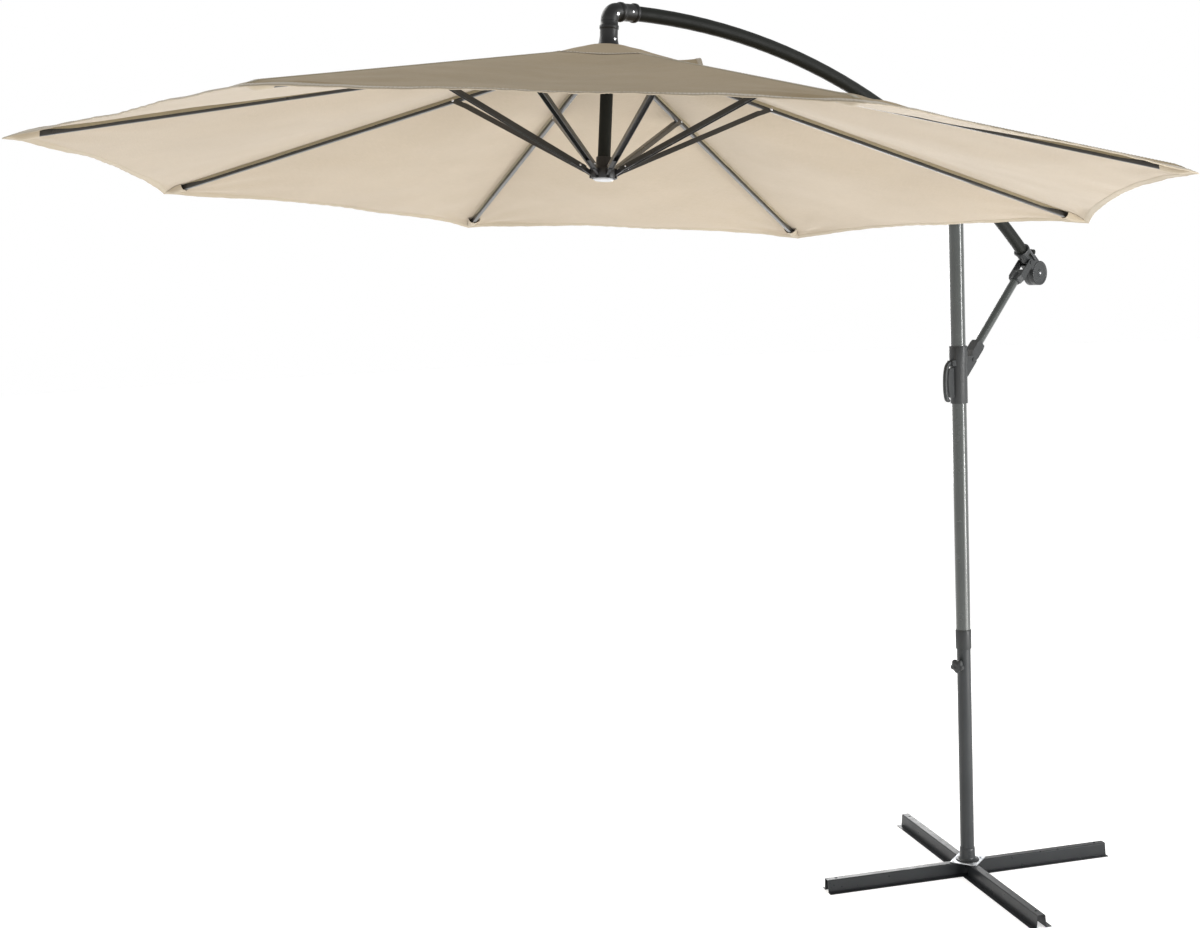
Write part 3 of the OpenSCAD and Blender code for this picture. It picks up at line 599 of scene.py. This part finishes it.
def pocket(b, k, slot):
    """The sewn pocket that holds the rib's end: a scoop under the cloth, widening from the tip."""
    rings = []
    steps, width = 14, 16
    for i in range(steps + 1):
        s = i / steps
        r = CANOPY_R - 0.004 - s * POCKET_LEN
        half = 0.004 + s * POCKET_HALF
        deep = POCKET_DEEP * smooth_step(s, 0.0, 0.62)
        outer, inner = [], []
        for j in range(width + 1):
            u = 2 * j / width - 1
            y = u * half
            shape = max(0.0, 1 - abs(u) ** 2.4) ** 0.75
            base = cloth_point(across(y, r), r, k, -0.0008)
            ripple = 0.0006 * math.sin(9 * u + 3 * s) * s
            outer.append(base + Vector((0, 0, -deep * shape - ripple * shape)))
            inner.append(base + Vector((0, 0, -max(0.0, deep - 0.0012) * shape - ripple * shape)))
        rings.append(outer + inner[::-1])
    b.loft(rings, slot, sector_frame(k))


def gore(k):
    """One sector of the canopy, from mid-gore to mid-gore, with its hem, seams, pocket and stitches."""
    rows, uvs = [], []
    hems = [hem_radius(spaced(t) * HALF) for t in COLUMNS]
    radii = [row_radii(h) for h in hems]
    for i in range(len(radii[0])):
        row, uv = [], []
        for j, t in enumerate(COLUMNS):
            off = spaced(t) * HALF
            p = cloth_point(off, radii[j][i], k)
            row.append(p)
            uv.append((p.y, p.x / math.cos(RIB_SLOPE)))
        rows.append(row)
        uvs.append(uv)
    cloth = cloth_sheet(f"canopy_gore_{k}", k, rows, uvs, 0.0009)
    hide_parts(f"canopy_{k}")

    trim = Build()
    band(trim, k, hem_radius, BAND_W, -1, 0)
    band(trim, k, lambda off: VENT_R - 0.001, 0.014, 1, 0)
    seam_strip(trim, k, -0.0075, 0.0075, 0.0002, CLOTH_T + 0.0009, VENT_R + 0.012, CANOPY_R - 0.03, 1)
    for side in (-1, 1):
        hanging_edge(trim, k, side, 1)
    pocket(trim, k, 0)
    trim = trim.piece(f"canopy_trim_{k}", f"gore_{k}", "canopy_cloth", [HEM, SEAM], smooth=60)

    sewn = Build()
    up = Vector((0, 0, 1))
    for inset in (0.0035, 0.0155):
        for lift in (CLOTH_T + 0.0009, -0.0009):
            line = [
                cloth_point(spaced(t) * HALF, hem_radius(spaced(t) * HALF) - inset, k, lift)
                for t in COLUMNS
            ]
            stitch_line(sewn, line, up)
    for y in (-0.0055, 0.0055):
        line = []
        for i in range(61):
            r = VENT_R + 0.014 + (CANOPY_R - 0.034 - VENT_R - 0.014) * i / 60
            line.append(cloth_point(across(y, r), r, k, CLOTH_T + 0.0011))
        stitch_line(sewn, line, up)
    for side in (-1, 1):
        line = []
        for i in range(2, 15):
            r = CANOPY_R - 0.004 - i / 14 * POCKET_LEN
            half = 0.004 + i / 14 * POCKET_HALF
            line.append(cloth_point(across(side * (half + 0.0006), r), r, k, -0.0014))
        stitch_line(sewn, line, up)
    sewn.points = [sector_frame(k) @ p for p in sewn.points]
    sewn = sewn.piece(f"canopy_stitches_{k}", f"gore_{k}", "canopy_cloth", [THREAD], smooth=180)

    for obj in (cloth, trim, sewn):
        fold_with_rib(obj)
    gore_area()


# The flap's free arches between the ribs; the tallest is the one in the seventh bay
FLAP_ARCH = (0.024, 0.032, 0.026, 0.004, -0.006, -0.002, 0.046, 0.030)
NEAR_BAYS = (4, 5, 6)
CROWN_PATCH_R, FLAP_EDGE_SLOPE = 0.06, 0.228
# Radius of the flap, and its height over the ring of rib pivots
FLAP_ROWS = ((0.027, 0.0190), (0.056, 0.0180), (0.095, 0.0085), (0.131, -0.0035), (0.200, -0.0238),
             (FLAP_R, -0.0408))


def flap_point(off, r, k, lift=0.0):
    radii, heights = zip(*FLAP_ROWS)
    chord = r * math.cos(HALF - abs(off)) / math.cos(HALF) if r > CROWN_PATCH_R else r
    z = CROWN_T + float(np.interp(chord, radii, heights))
    if chord > FLAP_R:
        z -= (chord - FLAP_R) * FLAP_EDGE_SLOPE
    bay = k if off > 0 else (k - 2) % 8 + 1
    out = max(0.0, (r - 0.10) / (FLAP_R - 0.10))
    free = math.sin(math.pi * abs(off) / HALF / 2) ** 2
    z += FLAP_ARCH[bay - 1] * free * out ** 2
    turn = rib_turn(k)
    place = Vector((r * math.cos(off + turn), r * math.sin(off + turn), 1.9))
    z += 0.0050 * noise.noise(place * 14.0) * out * free * (0.3 if bay in NEAR_BAYS else 1.0)
    return Vector((r * math.cos(off), r * math.sin(off), z + 0.0006 + lift))


def flap_edge(off):
    return FLAP_R * (math.cos(HALF) / math.cos(HALF - abs(off))) * (1 + 0.06 * (1 - abs(off) / HALF))


def flap(k):
    """One sector of the double roof's top flap, free to lift between the ribs."""
    rows, uvs = [], []
    columns = COLUMNS[::2]
    for i in range(23):
        row, uv = [], []
        for t in columns:
            off = spaced(t) * HALF
            r = 0.027 + (flap_edge(off) - 0.027) * i / 22
            p = flap_point(off, r, k)
            row.append(p)
            uv.append((p.y, p.x))
        rows.append(row)
        uvs.append(uv)
    cloth = cloth_sheet(f"flap_gore_{k}", k, rows, uvs, 0.0009)
    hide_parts("vent_flap")

    trim = Build()
    rings = []
    for t in columns:
        off = spaced(t) * HALF
        edge = flap_edge(off)
        section = [(0.013, -0.0002), (0.012, -0.0007), (0.003, -0.0008), (-0.0007, 0.0005),
                   (0.003, 0.0018), (0.012, 0.0017), (0.013, 0.0011)]
        rings.append([flap_point(off, edge - d, k, h) for d, h in section])
    trim.loft(rings, 0, sector_frame(k), caps=False)
    trim = trim.piece(f"flap_trim_{k}", f"gore_{k}", "canopy_cloth", [HEM], smooth=60)

    sewn = Build()
    for inset in (0.0028, 0.0108):
        line = [flap_point(spaced(t) * HALF, flap_edge(spaced(t) * HALF) - inset, k, 0.0019) for t in columns]
        stitch_line(sewn, line, Vector((0, 0, 1)))
    sewn.points = [sector_frame(k) @ p for p in sewn.points]
    sewn = sewn.piece(f"flap_stitches_{k}", f"gore_{k}", "canopy_cloth", [THREAD], smooth=180)
    for obj in (cloth, trim, sewn):
        fold_with_rib(obj)


# ---- Ribs and struts ----
def box_section(half_w, half_h, r, n=4):
    out = []
    for cy, cz, a in ((1, -1, -90), (1, 1, 0), (-1, 1, 90), (-1, -1, 180)):
        out += arc((cy * (half_w - r), cz * (half_h - r)), r, a, a + 90, n)
    return out


def rivet_head(b, x, y, slot, r=0.0042, high=0.0016, at=None, z=0.0):
    """A domed head on the side face at y, facing away from the middle."""
    side = 1 if y > 0 else -1
    place = Matrix.Translation((x, y, z)) @ Matrix.Rotation(-side * math.pi / 2, 4, "X")
    profile = [(r, 0)] + [
        (r * math.cos(a), high * math.sin(a)) for a in (math.pi / 2 * i / 5 for i in range(6))
    ]
    b.lathe(profile, 20, slot, place if at is None else at @ place)


def rib_piece(k):
    b = Build()
    at = rib_frame(k)
    rings = []
    for x in (0.016, 0.3, 0.6, 0.9, 1.2, RIB_LEN):
        rings.append([(x, y, z) for y, z in box_section(RIB_W / 2, RIB_H / 2, 0.0022)])
    b.loft(rings, 0, at)
    shoe = arc((0, 0), 0.0071, 270, 90, 14) + [(0.045, 0.0066), (0.045, -0.0066)]
    b.slab(shoe, 0.005, 1, at)
    cap = [(RIB_LEN + x, s) for x, s in ((-0.002, 1.04), (0.0006, 1.06), (0.0026, 0.98), (0.0036, 0.80))]
    b.loft([[(x, y * s, z * s) for y, z in box_section(RIB_W / 2, RIB_H / 2, 0.0030)] for x, s in cap], 1, at)
    for x in (0.028, RIB_LEN - 0.012):
        for y in (-RIB_W / 2, RIB_W / 2):
            rivet_head(b, x, y, 2, 0.0026, 0.0009, at)
    obj = b.piece(f"rib_bar_{k}", f"gore_{k}", "rib_steel", [RIB_PAINT, BLACK, BRIGHT], bevel=0.0006)
    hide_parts(f"rib_{k}")


def strut_piece(k):
    b = Build()
    at = strut_frame(k)
    inner, outer, top, low = 0.0063, 0.0078, -0.0095, 0.0045
    section = [(-outer, low)] + arc((-outer + 0.002, top + 0.002), 0.002, 180, 270, 4)
    section += arc((outer - 0.002, top + 0.002), 0.002, 270, 360, 4) + [(outer, low), (inner, low)]
    section += [(inner, top + 0.0018), (-inner, top + 0.0018), (-inner, low)]
    b.loft([[(x, y, z) for y, z in section] for x in (0.038, 0.16, 0.30, STRUT_LEN - 0.022)], 0, at)
    for s in (-1, 1):
        plate = arc((0, 0), 0.0075, 230, 90, 12)
        plate = [(x, z) for x, z in plate] + [(0.044, low), (0.044, top), (0.034, top + 0.002)]
        wall = at @ Matrix.Translation((0, s * (inner + outer) / 2, 0))
        b.slab(plate, (outer - inner) / 2 + 0.00002, 0, wall)
    plug_half = inner - 0.0002
    b.box((STRUT_LEN - 0.060, -plug_half, top + 0.0018), (STRUT_LEN - 0.0205, plug_half, 0.0022), 1, at)
    tongue = arc((STRUT_LEN, 0), 0.0060, -75, 75, 10)
    tongue += [(STRUT_LEN - 0.024, 0.0040), (STRUT_LEN - 0.024, -0.0060)]
    b.slab(tongue, 0.004, 1, at)
    for y in (-outer, outer):
        rivet_head(b, 0, y, 2, 0.0046, 0.0016, at)
        rivet_head(b, STRUT_LEN - 0.038, y, 2, 0.0028, 0.0010, at, -0.003)
    obj = b.piece(f"strut_bar_{k}", f"brace_{k}", "rib_steel", [RIB_PAINT, BLACK, BRIGHT], bevel=0.0005)
    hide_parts(f"strut_{k}")


for number in range(1, 9):
    gore(number)
    flap(number)
    rib_piece(number)
    strut_piece(number)


# ---- Elbow, knob, lever and fittings ----
def corner_centre(r):
    return CORNER + Vector((r * math.tan(ELBOW_TURN / 2), -r))


def elbow_piece():
    """The moulded corner between arm and pole: two collared sockets, a tight bend and a flared skirt."""
    end_x = -CENTRE_X + 0.1395
    start_x = CORNER.x + ELBOW_BEND * math.tan(ELBOW_TURN / 2)
    length = end_x - start_x
    level = [(length - 0.004, 0.0203), (length, 0.0205), (length + 0.0006, 0.0225), (length, 0.0250),
             (length - 0.001, 0.0257), (length - 0.0075, 0.0257), (length - 0.0095, 0.0245),
             (length - 0.0105, 0.0232), (0.030, 0.0231), (0.021, 0.0232), (0.0190, 0.0240),
             (0.0175, 0.0258), (0.0165, 0.0261), (0.0095, 0.0261), (0.0080, 0.0256), (0.0070, 0.0240),
             (0.0060, 0.0231), (0.0045, 0.0230), (0.0040, 0.0223), (0.0030, 0.0223), (0.0025, 0.0230)]
    path = [(start_x + d, CORNER.y) for d, _ in level]
    radii = [r for _, r in level]
    centre, turn = corner_centre(ELBOW_BEND), math.degrees(ELBOW_TURN)
    bend = arc(centre, ELBOW_BEND, 90, 90 + turn, 16)
    path += bend
    radii += [ELBOW_R] * len(bend)
    top_t = CORNER_T - ELBOW_BEND * math.tan(ELBOW_TURN / 2)
    skirt_t = CROWN_T + 0.020
    down = [(top_t - 0.0025, 0.0230), (top_t - 0.003, 0.0223), (top_t - 0.004, 0.0223),
            (top_t - 0.0045, 0.0230), (skirt_t + 0.0595, 0.0231), (skirt_t + 0.0580, 0.0240),
            (skirt_t + 0.0565, 0.0256),
            (skirt_t + 0.0485, 0.0256), (skirt_t + 0.0470, 0.0242), (skirt_t + 0.0450, 0.0236),
            (skirt_t + 0.0300, 0.0238), (skirt_t + 0.0200, 0.0246), (skirt_t + 0.0120, 0.0262),
            (skirt_t + 0.0060, 0.0286), (skirt_t + 0.0025, 0.0304), (skirt_t + 0.0008, 0.0309),
            (skirt_t, 0.0304), (skirt_t + 0.0006, 0.0290), (skirt_t + 0.004, 0.0240),
            (skirt_t + 0.006, 0.0175)]
    for t, r in down:
        p = CANOPY @ Vector((0, 0, t))
        path.append((p.x, p.z))
        radii.append(r)
    b = Build()
    rings, n = [], 56
    for i, (p, r) in enumerate(zip(path, radii)):
        if i < len(level):
            along = Vector((-1, 0))
        elif i >= len(level) + len(bend):
            along = Vector((-math.sin(LEAN), -math.cos(LEAN)))
        else:
            spin = (i - len(level)) / (len(bend) - 1) * ELBOW_TURN
            along = Vector((-math.cos(spin), -math.sin(spin)))
        up = Vector((-along.y, along.x))
        rings.append([
            (p[0] + up.x * r * math.sin(a), r * math.cos(a), p[1] + up.y * r * math.sin(a))
            for a in (2 * math.pi * j / n for j in range(n))
        ])
    b.loft(rings)
    obj = b.piece("elbow_shell", "arm", "black_plastic", [BLACK], smooth=50)
    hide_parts("elbow")


def knob_piece():
    """The five-lobed clamp knob, with soft lobes, a dished face and a bright washer behind it."""
    b = Build()
    at = Matrix.Translation((0, 0, KNOB_Z)) @ Matrix.Rotation(KNOB_DIR, 4, "Z") @ ALONG_X
    neck = LOWER_R + 0.0095
    rows = [(0.0042, -0.010, 0), (0.0042, -0.0004, 0), (0.0090, -0.0004, 0), (0.0095, 0.0010, 0),
            (0.0098, 0.0040, 0.05), (0.0140, 0.0050, 0.6), (0.0176, 0.0068, 1), (0.0184, 0.0100, 1),
            (0.0184, 0.0150, 1), (0.0172, 0.0182, 1), (0.0146, 0.0200, 0.8), (0.0118, 0.0204, 0.25),
            (0.0110, 0.0214, 0), (0.0100, 0.0221, 0), (0.0060, 0.0221, 0), (0.0050, 0.0212, 0),
            (0.0001, 0.0210, 0)]
    rings = []
    for r, h, lobe in rows:
        ring = []
        for j in range(80):
            a = 2 * math.pi * j / 80
            wave = math.cos(5 * a) * 0.5 + 0.5
            radius = r * (1 + 0.12 * lobe) + lobe * (0.0054 * wave ** 0.8 - 0.0020)
            ring.append((radius * math.cos(a), radius * math.sin(a), neck + h))
        rings.append(ring)
    b.loft(rings, 0, at)
    b.lathe([(0.0042, -0.0013), (0.0100, -0.0013), (0.0104, -0.0009), (0.0104, -0.0004), (0.0042, -0.0004)],
            32, 1, at @ Matrix.Translation((0, 0, neck)))
    obj = b.piece("knob_lobed", "knob", "grey_plastic", [GREY, BRIGHT], smooth=50)
    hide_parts("clamp_knob")


def lever_piece():
    """The slider's squeeze grip: a curved bow that hangs from its hinge and ends in a lip."""
    hinge_x, z = -UPPER_R - 0.014, SLIDER_Z + 0.133
    outline = [(4, -1, 6), (0, 1, 8), (-8, 1, 7.4), (-16, -2, 6.6), (-23, -9, 6.0), (-28, -20, 5.4),
               (-31.5, -36, 5.0), (-33, -54, 4.8), (-33.4, -72, 4.7), (-32.2, -90, 4.8), (-29.6, -105, 5.2),
               (-26, -115, 5.4), (-21, -119.6, 4.6), (-17, -121, 3.4), (-15.2, -121, 2.0)]
    path = [(hinge_x + x * MM, z + y * MM) for x, y, _ in outline]
    b = Build()
    n, rings = 24, []
    for i, p in enumerate(path):
        a, c = path[max(i - 1, 0)], path[min(i + 1, len(path) - 1)]
        along = (Vector(c) - Vector(a)).normalized()
        up = Vector((-along.y, along.x))
        half = (outline[i][2] + 1.4 * smooth_step(i, 1, 5)) * MM
        wide = 0.0067 * (0.86 if i > len(path) - 3 else 1.0)
        ring = []
        for j in range(n):
            t = 2 * math.pi * j / n
            c1, s1 = math.cos(t), math.sin(t)
            side = wide * math.copysign(abs(c1) ** 0.55, c1)
            lift = half * math.copysign(abs(s1) ** 0.7, s1)
            ring.append((p[0] + up.x * lift, side, p[1] + up.y * lift))
        rings.append(ring)
    b.loft(rings)
    for i in range(5):
        at = xz_frame((hinge_x - 0.0375 + 0.0004 * abs(i - 2), z - (0.052 + 0.010 * i)))
        b.box((-0.0008, -0.0050, -0.0016), (0.0011, 0.0050, 0.0016), 0, at)
    obj = b.piece("lever_grip", "lever", "grey_plastic", [GREY], smooth=50)
    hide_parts("release_lever")


def winder_trim():
    """A raised rim, a cover disc and a bright centre on the outer face of the winder case."""
    b = Build()
    at = xz_frame(WINDER) @ Matrix.Translation((0, -CASE_W / 2, 0)) @ Matrix.Rotation(math.pi / 2, 4, "X")
    rim = [(0.0395, -0.0002), (0.0395, 0.0006), (0.0385, 0.0012), (0.0355, 0.0012), (0.0345, 0.0005),
           (0.0330, -0.0002)]
    b.lathe(rim, 72, 0, at, closed=True)
    disc = [(0.0001, 0.0016), (0.0110, 0.0016), (0.0124, 0.0010), (0.0128, -0.0002), (0.0001, -0.0002)]
    b.lathe(disc, 48, 0, at)
    centre = [(0.0001, 0.0028), (0.0026, 0.0028), (0.0040, 0.0022), (0.0044, 0.0015), (0.0001, 0.0015)]
    b.lathe(centre, 32, 1, at)
    b.piece("winder_rim", "arm", "grey_plastic", [GREY, BRIGHT], smooth=40)


def foot_piece():
    """The mast's foot: a short sleeve over the tube that flares out softly onto the plate."""
    b = Build()
    profile = [(LOWER_R + 0.0002, 0.0451), (LOWER_R + 0.0130, 0.0451), (LOWER_R + 0.0134, 0.0458),
               (LOWER_R + 0.0134, 0.0474), (LOWER_R + 0.0126, 0.0482)]
    profile += [(x, z) for x, z in arc((LOWER_R + 0.0130, 0.0590), 0.0105, 268, 180, 10)]
    profile += [(LOWER_R + 0.0022, 0.0780), (LOWER_R + 0.0018, 0.0880), (LOWER_R + 0.0010, 0.0890),
                (LOWER_R + 0.0002, 0.0890)]
    b.lathe(profile, 72, closed=True)
    obj = b.piece("foot_sleeve", "base", "base_steel", [LOWER_PAINT], smooth=40)
    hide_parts("mast_foot")


def foot_weld():
    """The ripple of weld around the mast's foot."""
    b = Build()
    ring_r, z = LOWER_R + 0.0136, 0.0462
    steps, n = 180, 8
    rings = []
    for i in range(steps):
        a = 2 * math.pi * i / steps
        r = 0.0019 + 0.0003 * math.sin(a * 30)
        ring = []
        for j in range(n):
            t = 2 * math.pi * j / n
            radius = ring_r + r * math.cos(t)
            ring.append((radius * math.cos(a), radius * math.sin(a), z + r * math.sin(t)))
        rings.append(ring)
    rings.append(rings[0])
    b.loft(rings, caps=False)
    b.piece("foot_weld", "base", "base_steel", [BASE_PAINT], smooth=180)


elbow_piece()
knob_piece()
lever_piece()
winder_trim()
foot_piece()
foot_weld()

# ---- CAD nodes that stay ----
KEPT = {
    "base_bar_long": (BASE_PAINT, 0), "base_bar_cross": (BASE_PAINT, 0),
    "base_plate": (ZINC, 0.0006), "base_bolts": (ZINC, 0.0004),
    "lower_mast_tube": (LOWER_PAINT, 0), "mast_collar": (GREY, 0.0005), "upper_mast_tube": (MAST_PAINT, 0),
    "mast_head": (GREY, 0.0015), "arm_pivot_bolt": (BRIGHT, 0.0006), "slider_stop": (BLACK, 0.0006),
    "slider_body": (GREY, 0.0012), "slider_pins": (GREY, 0.0006), "link_tube": (MAST_PAINT, 0),
    "link_boot": (GREY, 0.0022), "link_fork": (GREY, 0.0014), "arm_tube": (ARM_PAINT, 0),
    "arm_saddle": (GREY, 0.0004), "elbow_rivets": (BRIGHT, 0.0003), "elbow_pulley": (BRIGHT, 0),
    "pole_tube": (ARM_PAINT, 0), "crown_hub": (BLACK, 0.0008), "crown_pins": (BRIGHT, 0.0003),
    "runner_hub": (BLACK, 0.0008), "runner_cap": (DISC, 0.0010), "winder_case_front": (GREY, 0.0014),
    "winder_case_back": (GREY, 0.0014), "winder_drum": (BRIGHT, 0), "cord_winding": (CORD, 0),
    "crank_arm": (ARM_PAINT, 0.0010), "crank_grip": (BLACK, 0), "lift_cord": (CORD, 0),
}
for node_name, (material, bevel) in KEPT.items():
    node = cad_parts[node_name]
    node.data.materials.clear()
    node.data.materials.append(material)
    if bevel:
        weld = node.modifiers.new("weld", "WELD")
        weld.merge_threshold = 0.00002
        add_bevel(node, bevel, 2)

# ---- Camera, floor and lights ----
YAW, PITCH, ROLL = math.radians(49.57), math.radians(-6.93), math.radians(-2.55)
LENS_PX, WIDTH_PX = 1677.0, 1200
ahead = Vector((math.cos(YAW) * math.cos(PITCH), math.sin(YAW) * math.cos(PITCH), math.sin(PITCH)))
right = Vector((math.sin(YAW), -math.cos(YAW), 0))
up = right.cross(ahead)
right_rolled = right * math.cos(ROLL) + up * math.sin(ROLL)
up_rolled = up * math.cos(ROLL) - right * math.sin(ROLL)
camera_data = bpy.data.cameras.new("camera")
camera_data.sensor_width = 36
camera_data.lens = LENS_PX * 36 / WIDTH_PX
camera = bpy.data.objects.new("camera", camera_data)
camera.matrix_world = frame_of((-4.4504, -3.3972, 2.1129), right_rolled, up_rolled, -ahead)
bpy.context.scene.collection.objects.link(camera)
bpy.context.scene.camera = camera


def floor_piece():
    b = Build()
    n, reach = 96, 30.0
    points = [(0, 0, -0.0006)] + [(reach * x, reach * y, -0.0006) for x, y in circle(1.0, n)]
    b.add(points, [(0, i + 1, (i + 1) % n + 1) for i in range(n)])
    mesh = bpy.data.meshes.new("floor")
    mesh.from_pydata([tuple(p) for p in b.points], [], b.faces)
    s = Shader("floor")
    s.link(s.ramp(s.noise(0.6, 2.0), (0.86, 0.86, 0.86), (0.90, 0.90, 0.90)), "Base Color")
    s.put(Roughness=0.75, Specular_IOR_Level=0.2)
    s.put(Emission_Color=(1, 1, 1, 1), Emission_Strength=0.54)
    mesh.materials.append(s.mat)
    obj = bpy.data.objects.new("floor", mesh)
    bpy.context.scene.collection.objects.link(obj)


def area_light(name, place, target, size, power, colour=(1, 1, 1), size_y=None):
    data = bpy.data.lights.new(name, "AREA")
    data.shape = "RECTANGLE"
    data.size, data.size_y = size, size_y or size
    data.energy, data.color = power, colour
    obj = bpy.data.objects.new(name, data)
    direction = Vector(target) - Vector(place)
    obj.rotation_euler = direction.to_track_quat("-Z", "Y").to_euler()
    obj.location = place
    obj.visible_camera = False
    bpy.context.scene.collection.objects.link(obj)


floor_piece()
world = bpy.data.worlds.new("studio")
world.use_nodes = True
sky = world.node_tree
direction = sky.nodes.new("ShaderNodeTexCoord")
split = sky.nodes.new("ShaderNodeSeparateXYZ")
ceiling = sky.nodes.new("ShaderNodeValToRGB")
ceiling.color_ramp.elements[0].position, ceiling.color_ramp.elements[1].position = 0.22, 0.62
ceiling.color_ramp.elements[0].color = (1.0, 1.0, 1.0, 1)
ceiling.color_ramp.elements[1].color = (0.42, 0.42, 0.41, 1)
sky.links.new(direction.outputs["Generated"], split.inputs["Vector"])
sky.links.new(split.outputs["Z"], ceiling.inputs["Fac"])
sky.links.new(ceiling.outputs["Color"], sky.nodes["Background"].inputs["Color"])
sky.nodes["Background"].inputs["Strength"].default_value = 1.0
bpy.context.scene.world = world
area_light("key", (-1.5, 4.5, 5.2), (-1.0, 0, 1.4), 3.0, 110, (1.0, 0.985, 0.96))
area_light("under", (0.3, -2.4, 0.25), (-0.9, 0.0, 2.5), 2.2, 40, (1.0, 0.985, 0.96))
area_light("strip", (1.2, -4.2, 1.9), (0, 0, 1.5), 0.35, 150, (1.0, 1.0, 1.0), 3.4)
area_light("back", (2.4, 2.8, 1.5), (0, 0, 0.3), 1.5, 34, (1.0, 1.0, 1.0))
bpy.context.scene.view_settings.view_transform = "Standard"
bpy.context.scene.view_settings.look = "None"
